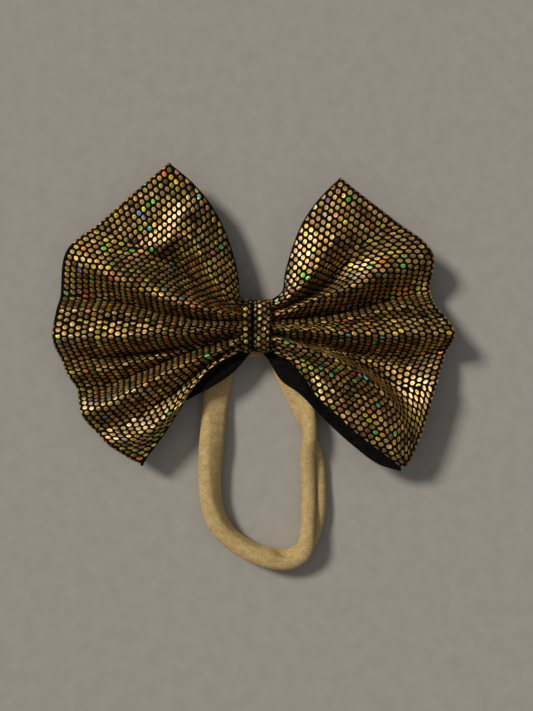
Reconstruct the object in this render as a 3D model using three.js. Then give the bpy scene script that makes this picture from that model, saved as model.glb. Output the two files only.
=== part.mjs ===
// A hair bow on a soft nylon headband: two pleated lobes of dotted stretch fabric with a plain
// backing, pinched into a knot, wrapped with a strip of the same fabric and glued to the band.
// Millimetres. +X runs from the left lobe to the right lobe as seen from the front, +Y is up and +Z
// is the front of the bow.
// The origin is on the headband's flat back, behind the middle of the knot.
import * as THREE from 'three';

// ---- driving dimensions ------------------------------------------------------------------------
const GAP = 0.3; // clearance between pieces that touch

const FRONT_THICK = 1.0; // dotted stretch fabric
const STIFF_THICK = 0.5; // interlining
const BACK_THICK = 1.0; // plain backing
const LAYER_GAP = 0.5; // measured straight down, so it stays clear on the steep sides of a pleat
const SEAM_RADIUS = 0.2;
const SEAM_SHARE = 0.65; // where the rim seam runs, from the last row inside the rim to the rim
const ROWS = 8; // steps from a lobe's root to its rim
const FINE = 2; // steps from one fold to the next

const WRAP_WIDTH = 8.7;
const WRAP_TOP = 8.5; // how far the wrap reaches up from the middle of the knot
const WRAP_BOTTOM = -8.6;
const WRAP_THICK = 0.8;
const WRAP_FRONT = 15.0; // height of the knot's front
const WRAP_CORNER = 3.6;

const BRIDGE_THICK = 2.6;
const BRIDGE_TOP = 2.0;
const BRIDGE_BOTTOM = -10.2;
const BRIDGE_LEFT = -4.9;
const BRIDGE_RIGHT = 2.6;
const BRIDGE_CORNER = 0.9;
const GLUE_THICK = 0.5;
const GLUE_X = [-3.6, 2.2];
const GLUE_Y = [-8.0, 0.4];
const TAIL_THICK = 0.7;
const TAIL_X = [-4.1, 4.1];
const TAIL_Y = [-5.5, 5.0];

const CORE_PLEATS = 6; // pleats packed side by side in the pinch
const CORE_NOTCH = 1.1; // depth of the groove between two of them
const CORE_SLACK = 0.6; // room between the pinch and the inside of the wrap, top and bottom
const CORE_EDGE_LOSS = 0.34; // how much thinner the pinch is at its top and bottom
const CORE_WAIST = 0.84; // its size under the thread, as a share of its size beside it
const CORE_END = 4.1; // half its length
const CORE_NECK = [1.6, 2.2]; // where the waist ends and the full size begins

const THREAD_RADIUS = 0.25;
const THREAD_TURNS = 3;
const THREAD_PITCH = 0.75;
const THREAD_POWER = 0.62; // a squarish oval that clears the packed pleats

const BAND_HALF_WIDTH = 4.8; // half the strip's width with its edges rolled
const BAND_ROLL = 2.4; // radius of a rolled edge
const BAND_FACE = 0.82; // height of the smooth face's middle, as a share of the roll's radius
const BAND_GROOVE = 0.1; // height of the groove's bottom on the other face
const BAND_CUT = 0.004; // the gap that two pieces of the band keep, as a share of the route
const FLOOR_CLEAR = 0.1;
const KNOT_LIFT = 0.2; // how far the knot holds the band up beside it
const KNOT_LIFT_SHARE = 0.12; // share of the route over which the band comes down again

const LOBE_ROOT_X = 10.0; // where a lobe starts, clear of the wrap when the lobe swings forward
const ROOT_RIDGE = 13.6;
const ROOT_VALLEY = 9.6;
const ROOT_FIRST_Y = 7.2; // the first and the last fold at the root
const ROOT_LAST_Y = -6.8;
const ROOT_TOP_EDGE = [7.2, 10.2, 10.4]; // x is measured outward from the knot
const ROOT_BOTTOM_EDGE = [9.4, -8.8, 10.0];
const ROOT_LAP = [8.6, -10.8, 9.6];
const FOLD_STOPS = [0, 0.25, 0.6, 1]; // shares of the way out at which a fold's height is given

// ---- the folds of each lobe, from its top edge round to its bottom edge -------------------------
// rim: the fold's outer end. inner, middle: its height a quarter and six tenths of the way out.
// sweep: how far the fold bows to the left of the straight line from root to rim.
const LEFT_FOLDS = [
  { rim: [-27.5, 51.1, 15], inner: 10, middle: 11, sweep: -6 },
  { rim: [-31.5, 48.2, 17], inner: 15.5, middle: 18, sweep: -1 },
  { rim: [-42.5, 39.5, 14], inner: 9.5, middle: 9.5, sweep: -0.5 },
  { rim: [-59.0, 24.8, 16], inner: 14.5, middle: 16, sweep: 3 },
  { rim: [-62.6, 9.0, 9], inner: 9, middle: 6.5, sweep: 1.5 },
  { rim: [-64.0, -2.5, 16], inner: 14.5, middle: 16.5, sweep: 1.5 },
  { rim: [-60.0, -14.5, 7], inner: 9, middle: 3.6, sweep: 2.5 },
  { rim: [-55.6, -25.5, 15], inner: 14, middle: 15.5, sweep: 1 },
  { rim: [-49.5, -34.5, 9], inner: 10, middle: 8.5, sweep: 0 },
  { rim: [-37.3, -44.3, 11], inner: 10.5, middle: 10.5, sweep: -2.5 },
];
const LEFT_LAP = { rim: [-38.0, -45.4, 10], inner: 9.6, middle: 9.6, sweep: 1.5 };

const RIGHT_FOLDS = [
  { rim: [26.5, 46.5, 13], inner: 10, middle: 10, sweep: 3.5 },
  { rim: [30.5, 43.0, 15], inner: 15, middle: 16.5, sweep: 1.5 },
  { rim: [37.0, 38.0, 14], inner: 9.5, middle: 9, sweep: 0 },
  { rim: [42.5, 33.4, 17], inner: 14, middle: 16.5, sweep: -2 },
  { rim: [49.0, 28.2, 13], inner: 11, middle: 13.5, sweep: -3 },
  { rim: [55.6, 20.8, 17], inner: 13.5, middle: 16, sweep: -3 },
  { rim: [55.2, 9.5, 8], inner: 9, middle: 6.5, sweep: -1 },
  { rim: [62.4, -1.0, 16], inner: 14, middle: 15.5, sweep: -1 },
  { rim: [58.4, -12.5, 8], inner: 9, middle: 3.6, sweep: -1 },
  { rim: [51.5, -34.5, 16], inner: 13.5, middle: 15.5, sweep: 3 },
  { rim: [46.5, -44.9, 12], inner: 12, middle: 12, sweep: -2.3 },
];
const RIGHT_LAP = { rim: [47.0, -46.6, 10.5], inner: 11.5, middle: 11, sweep: -5 };

// ---- the headband's middle line -----------------------------------------------------------------
// at: place in plan. turn: angle of the strip's smooth face from straight up towards the inside of
// the loop, in degrees. squash: 1 for a round edge roll, less where the bow presses it flat.
const BAND_ROUTE = [
  { at: [-5.3, -4.7], turn: 0, squash: 0.58 },
  { at: [-6.6, -4.73], turn: 0, squash: 0.6 },
  { at: [-10.2, -6.3], turn: 0, squash: 0.66 },
  { at: [-12.0, -10.4], turn: 4, squash: 0.7 },
  { at: [-12.8, -18.4], turn: 10, squash: 0.76 },
  { at: [-13.9, -28.0], turn: 24, squash: 0.9 },
  { at: [-14.9, -38.0], turn: 34, squash: 1 },
  { at: [-15.5, -46.0], turn: 42, squash: 1 },
  { at: [-15.5, -54.0], turn: 52, squash: 1 },
  { at: [-14.3, -60.8], turn: 62, squash: 1 },
  { at: [-11.6, -66.6], turn: 74, squash: 1 },
  { at: [-6.8, -71.2], turn: 80, squash: 1 },
  { at: [-1.0, -74.4], turn: 78, squash: 1 },
  { at: [5.0, -76.2], turn: 70, squash: 1 },
  { at: [11.0, -76.4], turn: 72, squash: 1 },
  { at: [15.6, -73.4], turn: 88, squash: 1 },
  { at: [17.9, -66.8], turn: 108, squash: 1 },
  { at: [18.9, -58.4], turn: 124, squash: 1 },
  { at: [19.1, -50.6], turn: 128, squash: 1 },
  { at: [18.6, -43.0], turn: 114, squash: 1 },
  { at: [17.4, -35.6], turn: 84, squash: 1 },
  { at: [15.0, -27.6], turn: 38, squash: 0.9 },
  { at: [12.2, -20.0], turn: 14, squash: 0.78 },
  { at: [9.9, -14.0], turn: 8, squash: 0.7 },
  { at: [8.6, -9.9], turn: 2, squash: 0.66 },
  { at: [7.1, -6.2], turn: 0, squash: 0.62 },
  { at: [4.1, -4.73], turn: 0, squash: 0.58 },
  { at: [3.0, -4.7], turn: 0, squash: 0.58 },
];
const LEFT_STRAND_END = 0.43; // share of the route where the left strand meets the bend
const RIGHT_STRAND_START = 0.6;
const LEFT_STRAND_STEPS = 22;
const BEND_STEPS = 10;
const RIGHT_STRAND_STEPS = 20;

// ---- colours ------------------------------------------------------------------------------------
const DOTTED = { color: 0x8a6a2c, roughness: 0.35, metalness: 0.7 };
const BLACK_FABRIC = { color: 0x0c0c0d, roughness: 0.9, metalness: 0.0 };
const INTERLINING = { color: 0x2a2a2c, roughness: 0.95, metalness: 0.0 };
const BLACK_THREAD = { color: 0x151515, roughness: 0.8, metalness: 0.0 };
const NYLON = { color: 0xb79b63, roughness: 0.85, metalness: 0.0 };
const GLUE = { color: 0xc9b98a, roughness: 0.3, metalness: 0.0 };

// ---- mesh helpers -------------------------------------------------------------------------------
function solid(name, points, triangles, look) {
  const geometry = new THREE.BufferGeometry();
  geometry.setAttribute('position', new THREE.Float32BufferAttribute(points.flat(), 3));
  geometry.setIndex(triangles.flat());
  geometry.computeVertexNormals();
  const mesh = new THREE.Mesh(geometry, new THREE.MeshStandardMaterial(look));
  mesh.name = name;
  return mesh;
}

function signedVolume(points, triangles) {
  const [a, b, c] = [new THREE.Vector3(), new THREE.Vector3(), new THREE.Vector3()];
  let sum = 0;
  for (const [i, j, k] of triangles) {
    a.fromArray(points[i]);
    b.fromArray(points[j]);
    c.fromArray(points[k]);
    sum += a.dot(b.cross(c));
  }
  return sum / 6;
}

function facingOut(points, triangles) {
  if (signedVolume(points, triangles) > 0) return triangles;
  return triangles.map(([i, j, k]) => [i, k, j]);
}

// A closed body from rings of points, with flat ends triangulated from the flat section.
function loft(name, rings, section, look) {
  const count = section.length;
  const points = rings.flat();
  const triangles = [];
  for (let r = 0; r + 1 < rings.length; r += 1) {
    for (let k = 0; k < count; k += 1) {
      const next = (k + 1) % count;
      const a = r * count + k;
      const b = r * count + next;
      triangles.push([a, b, b + count], [a, b + count, a + count]);
    }
  }
  const contour = section.map(([u, v]) => new THREE.Vector2(u, v));
  const sectionTurn = Math.sign(signedArea(section));
  const last = (rings.length - 1) * count;
  for (const cap of THREE.ShapeUtils.triangulateShape(contour, [])) {
    const sameTurn = Math.sign(signedArea(cap.map((i) => section[i]))) === sectionTurn;
    const [i, j, k] = sameTurn ? cap : [cap[0], cap[2], cap[1]];
    triangles.push([i, k, j], [last + i, last + j, last + k]);
  }
  return solid(name, points, facingOut(points, triangles), look);
}

function signedArea(outline) {
  let sum = 0;
  outline.forEach(([u, v], k) => {
    const [p, q] = outline[(k + 1) % outline.length];
    sum += u * q - p * v;
  });
  return sum / 2;
}

// A closed slab between a grid of points and the same grid moved straight down.
function slab(name, grid, thickness, look) {
  const rows = grid.length;
  const columns = grid[0].length;
  const top = grid.flat();
  const points = [...top, ...top.map(([x, y, z]) => [x, y, z - thickness])];
  const under = top.length;
  const triangles = [];
  for (let r = 0; r + 1 < rows; r += 1) {
    for (let c = 0; c + 1 < columns; c += 1) {
      const a = r * columns + c;
      const b = a + 1;
      const d = a + columns;
      const e = d + 1;
      triangles.push([a, b, e], [a, e, d]);
      triangles.push([under + a, under + e, under + b], [under + a, under + d, under + e]);
    }
  }
  const border = [];
  for (let c = 0; c < columns; c += 1) border.push(c);
  for (let r = 1; r < rows; r += 1) border.push(r * columns + columns - 1);
  for (let c = columns - 2; c >= 0; c -= 1) border.push((rows - 1) * columns + c);
  for (let r = rows - 2; r > 0; r -= 1) border.push(r * columns);
  border.forEach((from, k) => {
    const to = border[(k + 1) % border.length];
    triangles.push([from, under + to, to], [from, under + from, under + to]);
  });
  return solid(name, points, facingOut(points, triangles), look);
}

// ---- lobes --------------------------------------------------------------------------------------
function rootOf(index, folds, side) {
  const last = folds.length - 1;
  if (index === 0) return outward(ROOT_TOP_EDGE, side);
  if (index === last) return outward(ROOT_BOTTOM_EDGE, side);
  const share = (index - 1) / (last - 2);
  const height = index % 2 === 1 ? ROOT_RIDGE : ROOT_VALLEY;
  const y = THREE.MathUtils.lerp(ROOT_FIRST_Y, ROOT_LAST_Y, share);
  return outward([LOBE_ROOT_X, y, height], side);
}

function outward([x, y, z], side) {
  return new THREE.Vector3(side * x, y, z);
}

// The height of a fold at a share t of the way out, found by halving the curve's own parameter.
function heightAlong(fold, root, t) {
  const heights = [root.z, fold.inner, fold.middle, fold.rim[2]];
  const stops = FOLD_STOPS.map((share, k) => new THREE.Vector3(share, 0, heights[k]));
  const curve = new THREE.CatmullRomCurve3(stops);
  const halvings = 24;
  let low = 0;
  let high = 1;
  for (let step = 0; step < halvings; step += 1) {
    const guess = (low + high) / 2;
    if (curve.getPoint(guess).x < t) low = guess;
    else high = guess;
  }
  return curve.getPoint((low + high) / 2).z;
}

function pointOn(fold, root, t) {
  const rim = new THREE.Vector3(...fold.rim);
  const along = new THREE.Vector2(rim.x - root.x, rim.y - root.y).normalize();
  const bow = fold.sweep * Math.sin(Math.PI * t);
  return new THREE.Vector3(
    THREE.MathUtils.lerp(root.x, rim.x, t) - along.y * bow,
    THREE.MathUtils.lerp(root.y, rim.y, t) + along.x * bow,
    heightAlong(fold, root, t),
  );
}

// Points of the pleated surface: one row for each share of the way out, FINE columns between two
// folds. The lap is the last fold, and only the backing goes on to it.
function pleatedRow(folds, roots, share, withLap, drop) {
  const across = new THREE.CatmullRomCurve3(folds.map((fold, k) => pointOn(fold, roots[k], share)));
  const columns = (folds.length - 1) * FINE;
  const used = withLap ? columns : columns - FINE;
  return Array.from({ length: used + 1 }, (_, c) => {
    const p = across.getPoint(c / columns);
    return [p.x, p.y, p.z - drop];
  });
}

function pleatedGrid(folds, roots, firstRow, lastRow, withLap, drop) {
  const grid = [];
  for (let row = firstRow; row <= lastRow; row += 1) {
    grid.push(pleatedRow(folds, roots, row / ROWS, withLap, drop));
  }
  return grid;
}

function rimSeam(name, folds, roots, drop) {
  const inside = pleatedRow(folds, roots, 1 - 1 / ROWS, false, drop);
  const rim = pleatedRow(folds, roots, 1, false, drop);
  const path = inside
    .map((p, c) => new THREE.Vector3(...p).lerp(new THREE.Vector3(...rim[c]), SEAM_SHARE))
    .slice(1, -1);
  const section = circle(SEAM_RADIUS, 6);
  const rings = path.map((p, k) => {
    const before = path[Math.max(0, k - 1)];
    const after = path[Math.min(path.length - 1, k + 1)];
    const along = after.clone().sub(before).normalize();
    const up = new THREE.Vector3(0, 0, 1).addScaledVector(along, -along.z).normalize();
    const out = along.clone().cross(up);
    return section.map(([u, v]) => p.clone().addScaledVector(out, u).addScaledVector(up, v).toArray());
  });
  return loft(name, rings, section, BLACK_THREAD);
}

function circle(radius, sides) {
  return Array.from({ length: sides }, (_, k) => {
    const angle = (2 * Math.PI * k) / sides;
    return [radius * Math.cos(angle), radius * Math.sin(angle)];
  });
}

function lobe(prefix, ownFolds, lap, side) {
  const folds = [...ownFolds, lap];
  const roots = ownFolds.map((_, k) => rootOf(k, ownFolds, side));
  roots.push(outward(ROOT_LAP, side));
  const stiffDrop = FRONT_THICK + LAYER_GAP;
  const backDrop = stiffDrop + STIFF_THICK + LAYER_GAP;
  const frontGrid = pleatedGrid(folds, roots, 0, ROWS, false, 0);
  const stiffGrid = pleatedGrid(folds, roots, 1, ROWS - 1, false, stiffDrop);
  const backGrid = pleatedGrid(folds, roots, 0, ROWS, true, backDrop);
  return [
    slab(`${prefix}_front_panel`, frontGrid, FRONT_THICK, DOTTED),
    slab(`${prefix}_stiffener`, stiffGrid, STIFF_THICK, INTERLINING),
    slab(`${prefix}_back_panel`, backGrid, BACK_THICK, BLACK_FABRIC),
    rimSeam(`${prefix}_rim_seam`, folds, roots, stiffDrop + STIFF_THICK / 2),
  ];
}

// ---- knot ---------------------------------------------------------------------------------------
// A rounded rectangle in the YZ plane, as points.
function roundedBox(bottom, top, low, high, corner) {
  const steps = 4;
  const corners = [
    [top - corner, high - corner, 0],
    [bottom + corner, high - corner, 90],
    [bottom + corner, low + corner, 180],
    [top - corner, low + corner, 270],
  ];
  return corners.flatMap(([cy, cz, start]) =>
    Array.from({ length: steps + 1 }, (_, k) => {
      const angle = THREE.MathUtils.degToRad(start + (90 * k) / steps);
      return [cy + corner * Math.cos(angle), cz + corner * Math.sin(angle)];
    }),
  );
}

const glueTop = BRIDGE_THICK + GAP + GLUE_THICK;
const tailTop = glueTop + GAP + TAIL_THICK;
const wrapBack = tailTop + GAP;
const coreLow = wrapBack + WRAP_THICK + GAP;
const coreHigh = WRAP_FRONT - WRAP_THICK - GAP;

// Across its width the strip is slightly full, with a shallow crease left of the middle.
const WRAP_PROFILE = [
  { share: -1, swell: -0.5 },
  { share: -0.72, swell: 0 },
  { share: -0.3, swell: -0.05 },
  { share: -0.16, swell: -0.35 },
  { share: 0.02, swell: -0.05 },
  { share: 0.72, swell: 0 },
  { share: 1, swell: -0.5 },
];

function centreWrap() {
  const outer = roundedBox(WRAP_BOTTOM, WRAP_TOP, wrapBack, WRAP_FRONT, WRAP_CORNER);
  const inner = roundedBox(
    WRAP_BOTTOM + WRAP_THICK,
    WRAP_TOP - WRAP_THICK,
    wrapBack + WRAP_THICK,
    WRAP_FRONT - WRAP_THICK,
    WRAP_CORNER - WRAP_THICK,
  );
  const half = WRAP_WIDTH / 2;
  const centreY = (WRAP_TOP + WRAP_BOTTOM) / 2;
  const centreZ = (wrapBack + WRAP_FRONT) / 2;
  const points = [];
  for (const { share, swell } of WRAP_PROFILE) {
    for (const [y, z] of outer) {
      const out = new THREE.Vector2(y - centreY, z - centreZ);
      const reach = out.length();
      const facesFront = z > centreZ ? 1 : 0;
      out.multiplyScalar((reach + swell * facesFront) / reach);
      points.push([half * share, centreY + out.x, centreZ + out.y]);
    }
  }
  const innerStart = points.length;
  for (const x of [-half, half]) {
    for (const [y, z] of inner) points.push([x, y, z]);
  }
  const count = outer.length;
  const triangles = [];
  for (let r = 0; r + 1 < WRAP_PROFILE.length; r += 1) {
    for (let k = 0; k < count; k += 1) {
      const next = (k + 1) % count;
      const a = r * count + k;
      const b = r * count + next;
      triangles.push([a, b, b + count], [a, b + count, a + count]);
    }
  }
  const lastOuter = (WRAP_PROFILE.length - 1) * count;
  for (let k = 0; k < count; k += 1) {
    const next = (k + 1) % count;
    const a = innerStart + k;
    const b = innerStart + next;
    triangles.push([a, b + count, b], [a, a + count, b + count]);
    triangles.push([k, b, next], [k, a, b]);
    triangles.push([lastOuter + k, lastOuter + next, b + count], [lastOuter + k, b + count, a + count]);
  }
  return solid('centre_wrap', points, facingOut(points, triangles), DOTTED);
}

// The pinched fabric: pleats packed side by side, drawn in at the middle where the thread holds them.
function gatheredCore() {
  const halfHeight = (WRAP_TOP - WRAP_BOTTOM) / 2 - WRAP_THICK - GAP - CORE_SLACK;
  const centreY = (WRAP_TOP + WRAP_BOTTOM) / 2;
  const centreZ = (coreLow + coreHigh) / 2;
  const halfDepth = (coreHigh - coreLow) / 2;
  const front = [];
  const back = [];
  for (let k = 0; k <= 2 * CORE_PLEATS; k += 1) {
    const y = -halfHeight + (halfHeight * k) / CORE_PLEATS;
    const edge = 1 - CORE_EDGE_LOSS * (Math.abs(y) / halfHeight) ** 4;
    const depth = halfDepth * edge - (k % 2 === 0 ? CORE_NOTCH : 0);
    front.push([y, depth]);
    back.push([y, -depth]);
  }
  const section = [...front, ...back.reverse()];
  const [waistEnd, fullStart] = CORE_NECK;
  const stations = [
    { x: -CORE_END, pinch: 1 },
    { x: -fullStart, pinch: 1 },
    { x: -waistEnd, pinch: CORE_WAIST },
    { x: waistEnd, pinch: CORE_WAIST },
    { x: fullStart, pinch: 1 },
    { x: CORE_END, pinch: 1 },
  ];
  const rings = stations.map(({ x, pinch }) =>
    section.map(([y, z]) => [x, centreY + y * pinch, centreZ + z * pinch]),
  );
  return loft('gathered_core', rings, section, BLACK_FABRIC);
}

function gatherThread() {
  const halfHeight = ((WRAP_TOP - WRAP_BOTTOM) / 2 - WRAP_THICK - GAP - CORE_SLACK) * CORE_WAIST;
  const halfDepth = ((coreHigh - coreLow) / 2) * CORE_WAIST;
  const lift = GAP + THREAD_RADIUS;
  const centreY = (WRAP_TOP + WRAP_BOTTOM) / 2;
  const centreZ = (coreLow + coreHigh) / 2;
  const stepsPerTurn = 16;
  const steps = THREAD_TURNS * stepsPerTurn;
  const section = circle(THREAD_RADIUS, 6);
  const rings = Array.from({ length: steps + 1 }, (_, k) => {
    const angle = (2 * Math.PI * k) / stepsPerTurn;
    const [c, s] = [Math.cos(angle), Math.sin(angle)];
    const y = (halfHeight + lift) * Math.sign(c) * Math.abs(c) ** THREAD_POWER;
    const z = (halfDepth + lift) * Math.sign(s) * Math.abs(s) ** THREAD_POWER;
    const x = (k / stepsPerTurn - THREAD_TURNS / 2) * THREAD_PITCH;
    const out = new THREE.Vector2(y, z).normalize();
    return section.map(([u, v]) => [x + u, centreY + y + out.x * v, centreZ + z + out.y * v]);
  });
  return loft('gather_thread', rings, section, BLACK_THREAD);
}

function plate(name, [left, right], [bottom, top], [low, high], look) {
  const geometry = new THREE.BoxGeometry(right - left, top - bottom, high - low);
  const mesh = new THREE.Mesh(geometry, new THREE.MeshStandardMaterial(look));
  mesh.position.set((left + right) / 2, (top + bottom) / 2, (high + low) / 2);
  mesh.name = name;
  return mesh;
}

// The band pressed flat behind the knot, its rolled edges still a little full.
function headbandBridge() {
  const section = roundedBox(BRIDGE_BOTTOM, BRIDGE_TOP, 0, BRIDGE_THICK, BRIDGE_CORNER);
  const shape = new THREE.Shape(section.map(([y, z]) => new THREE.Vector2(y, z)));
  const depth = BRIDGE_RIGHT - BRIDGE_LEFT;
  const geometry = new THREE.ExtrudeGeometry(shape, { depth, bevelEnabled: false });
  const turn = new THREE.Matrix4().set(0, 0, 1, 0, 1, 0, 0, 0, 0, 1, 0, 0, 0, 0, 0, 1);
  geometry.applyMatrix4(turn);
  geometry.translate(BRIDGE_LEFT, 0, 0);
  const mesh = new THREE.Mesh(geometry, new THREE.MeshStandardMaterial(NYLON));
  mesh.name = 'headband_bridge';
  return mesh;
}

// ---- headband -----------------------------------------------------------------------------------
// The strip's section: smooth on one face, with a groove between its two rolled edges on the other.
function bandSection(squash) {
  const w = BAND_HALF_WIDTH;
  const r = BAND_ROLL;
  const c = w - r;
  const k = Math.SQRT1_2;
  return [
    [w, 0],
    [c + r * k, r * k],
    [c, r],
    [0, r * BAND_FACE],
    [-c, r],
    [-c - r * k, r * k],
    [-w, 0],
    [-c - r * k, -r * k],
    [-c, -r],
    [-c + r * k, -r * k],
    [0, r * BAND_GROOVE],
    [c - r * k, -r * k],
    [c, -r],
    [c + r * k, -r * k],
  ].map(([u, v]) => [u, v * squash]);
}

function bandRings(from, to, steps) {
  const plan = new THREE.CatmullRomCurve3(
    BAND_ROUTE.map(({ at }) => new THREE.Vector3(at[0], at[1], 0)),
    false,
    'centripetal',
  );
  const last = BAND_ROUTE.length - 1;
  return Array.from({ length: steps + 1 }, (_, k) => {
    const t = from + ((to - from) * k) / steps;
    const whole = Math.min(Math.floor(t * last), last - 1);
    const part = THREE.MathUtils.smoothstep(t * last - whole, 0, 1);
    const [here, next] = [BAND_ROUTE[whole], BAND_ROUTE[whole + 1]];
    const turn = THREE.MathUtils.degToRad(THREE.MathUtils.lerp(here.turn, next.turn, part));
    const squash = THREE.MathUtils.lerp(here.squash, next.squash, part);
    const centre = plan.getPoint(t);
    const along = plan.getTangent(t);
    const inward = new THREE.Vector3(-along.y, along.x, 0);
    const face = new THREE.Vector3(0, 0, Math.cos(turn)).addScaledVector(inward, Math.sin(turn));
    const width = along.clone().cross(face);
    const section = bandSection(squash);
    const corners = section.map(([u, v]) =>
      centre.clone().addScaledVector(width, u).addScaledVector(face, v),
    );
    const lowest = Math.min(...corners.map((p) => p.z));
    const lift = FLOOR_CLEAR + bridgeLift(t) - lowest;
    return corners.map((p) => [p.x, p.y, p.z + lift]);
  });
}

// Beside the knot the band is held up a little, and it comes down to the table further out.
function bridgeLift(t) {
  const ends = Math.min(t, 1 - t);
  return KNOT_LIFT * (1 - THREE.MathUtils.smoothstep(ends, 0, KNOT_LIFT_SHARE));
}

function bandPiece(name, from, to, steps) {
  return loft(name, bandRings(from, to, steps), bandSection(1), NYLON);
}

// ---- the whole bow ------------------------------------------------------------------------------
const bow = new THREE.Group();
bow.add(centreWrap());
bow.add(plate('wrap_tail', TAIL_X, TAIL_Y, [glueTop + GAP, tailTop], DOTTED));
bow.add(plate('glue_patch', GLUE_X, GLUE_Y, [BRIDGE_THICK + GAP, glueTop], GLUE));
bow.add(gatheredCore());
bow.add(gatherThread());
bow.add(headbandBridge());
bow.add(...lobe('left', LEFT_FOLDS, LEFT_LAP, -1));
bow.add(...lobe('right', RIGHT_FOLDS, RIGHT_LAP, 1));
const cut = BAND_CUT / 2;
bow.add(bandPiece('headband_left_strand', 0, LEFT_STRAND_END - cut, LEFT_STRAND_STEPS));
bow.add(bandPiece('headband_bend', LEFT_STRAND_END + cut, RIGHT_STRAND_START - cut, BEND_STEPS));
bow.add(bandPiece('headband_right_strand', RIGHT_STRAND_START + cut, 1, RIGHT_STRAND_STEPS));

export default bow;
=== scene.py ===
"""A hair bow on a soft nylon headband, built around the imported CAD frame.

Lengths are in millimetres until a mesh is made, and then in metres. +X is to the right as the bow
is seen from the front, +Y up the bow, +Z out of its front. The bow lies on its back on the floor.
"""

import math

import bmesh
import bpy
import numpy as np
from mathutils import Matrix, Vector


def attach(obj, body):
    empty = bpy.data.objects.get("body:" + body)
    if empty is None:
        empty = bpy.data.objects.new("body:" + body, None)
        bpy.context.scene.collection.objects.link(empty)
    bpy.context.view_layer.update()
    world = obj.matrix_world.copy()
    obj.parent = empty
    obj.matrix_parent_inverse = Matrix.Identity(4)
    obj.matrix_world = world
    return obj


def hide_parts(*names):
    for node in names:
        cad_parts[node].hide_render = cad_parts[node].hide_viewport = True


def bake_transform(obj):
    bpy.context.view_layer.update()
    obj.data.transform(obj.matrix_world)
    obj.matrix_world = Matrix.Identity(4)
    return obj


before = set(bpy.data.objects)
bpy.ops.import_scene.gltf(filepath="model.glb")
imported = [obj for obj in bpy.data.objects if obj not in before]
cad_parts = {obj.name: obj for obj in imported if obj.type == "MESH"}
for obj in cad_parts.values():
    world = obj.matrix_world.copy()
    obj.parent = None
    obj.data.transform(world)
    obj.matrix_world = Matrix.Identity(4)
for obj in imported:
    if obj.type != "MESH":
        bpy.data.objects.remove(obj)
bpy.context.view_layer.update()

MM = 0.001

# ---- camera ------------------------------------------------------------------------------------
PICTURE_HEIGHT = 228.6  # what the picture takes in, top to bottom, at mid height of the bow
MID_HEIGHT = 11.0
LENS = 60.0
SENSOR = 36.0
LOOK_AT = (3.2, -9.6)


def make_camera():
    data = bpy.data.cameras.new("camera")
    data.lens = LENS
    data.sensor_width = SENSOR
    data.clip_start = 0.01
    camera = bpy.data.objects.new("camera", data)
    bpy.context.scene.collection.objects.link(camera)
    height = MID_HEIGHT + PICTURE_HEIGHT * LENS / SENSOR
    camera.location = (LOOK_AT[0] * MM, LOOK_AT[1] * MM, height * MM)
    bpy.context.scene.camera = camera


# ---- small helpers -----------------------------------------------------------------------------
def smooth(x, low=0.0, high=1.0):
    """0 below low, 1 above high, and a smooth rise between."""
    t = np.clip((np.asarray(x, float) - low) / (high - low), 0, 1)
    return t * t * (3 - 2 * t)


def bump(x, centre, width):
    """1 at centre, falling smoothly to 0 at width on either side."""
    return 1 - smooth(np.abs(np.asarray(x, float) - centre), 0, width)


def tangents(points, knots):
    """Slopes at each point of a smooth curve through points at unevenly spaced knots."""
    gaps = np.diff(knots)[:, None]
    slopes = np.diff(points, axis=0) / gaps
    made = np.empty_like(points)
    inner = slopes[:-1] * gaps[1:] + slopes[1:] * gaps[:-1]
    made[1:-1] = inner / (gaps[:-1] + gaps[1:])
    made[0] = slopes[0]
    made[-1] = slopes[-1]
    return made


def hermite(f, gap, start, end, slope_start, slope_end):
    """A smooth curve at share f of the way between two of its points, a gap apart."""
    return (
        (1 + 2 * f) * (1 - f) ** 2 * start
        + f * (1 - f) ** 2 * gap * slope_start
        + f * f * (3 - 2 * f) * end
        + f * f * (f - 1) * gap * slope_end
    )


def curve_through(points, at=None, samples=240):
    """Samples of a smooth curve through points, by chord length, or at shares of the point count."""
    p = np.array(points, float)
    if at is None:
        knots = np.concatenate([[0], np.cumsum(np.linalg.norm(np.diff(p, axis=0), axis=1))])
        at = np.linspace(0, knots[-1], samples)
    else:
        knots = np.arange(len(p), dtype=float)
    m = tangents(p, knots)
    k = np.clip(np.searchsorted(knots, at, side="right") - 1, 0, len(p) - 2)
    h = (knots[k + 1] - knots[k])[:, None]
    f = (np.asarray(at) - knots[k])[:, None] / h
    return hermite(f, h, p[k], p[k + 1], m[k], m[k + 1])


def run_length(points):
    steps = np.linalg.norm(np.diff(points, axis=0), axis=-1)
    return np.concatenate([[0], np.cumsum(steps)])


def unit(vectors, least=0.0):
    """Vectors scaled to length 1. least is added to each length, so that none divides by zero."""
    return vectors / (np.linalg.norm(vectors, axis=-1, keepdims=True) + least)


def grid_normals(grid):
    """Unit normals of a grid of points, shape (rows, columns, 3)."""
    along = np.gradient(grid, axis=0)
    across = np.gradient(grid, axis=1)
    return unit(np.cross(across, along), 1e-12)


def circle(count):
    """Evenly spaced angles round a circle."""
    return 2 * math.pi * np.arange(count) / count


def squared(wave, power):
    """A sine or cosine with flattened ends, which squares off a circle drawn with it."""
    return np.sign(wave) * np.abs(wave) ** power


# ---- meshes ------------------------------------------------------------------------------------
def link_mesh(name, points, faces, materials, smooth_shaded=True):
    mesh = bpy.data.meshes.new(name)
    mesh.from_pydata((np.asarray(points) * MM).tolist(), [], faces)
    mesh.validate()
    for material in materials:
        mesh.materials.append(material)
    mesh.polygons.foreach_set("use_smooth", [smooth_shaded] * len(mesh.polygons))
    mesh.update()
    piece = bpy.data.objects.new(name, mesh)
    bpy.context.scene.collection.objects.link(piece)
    return piece


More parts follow.
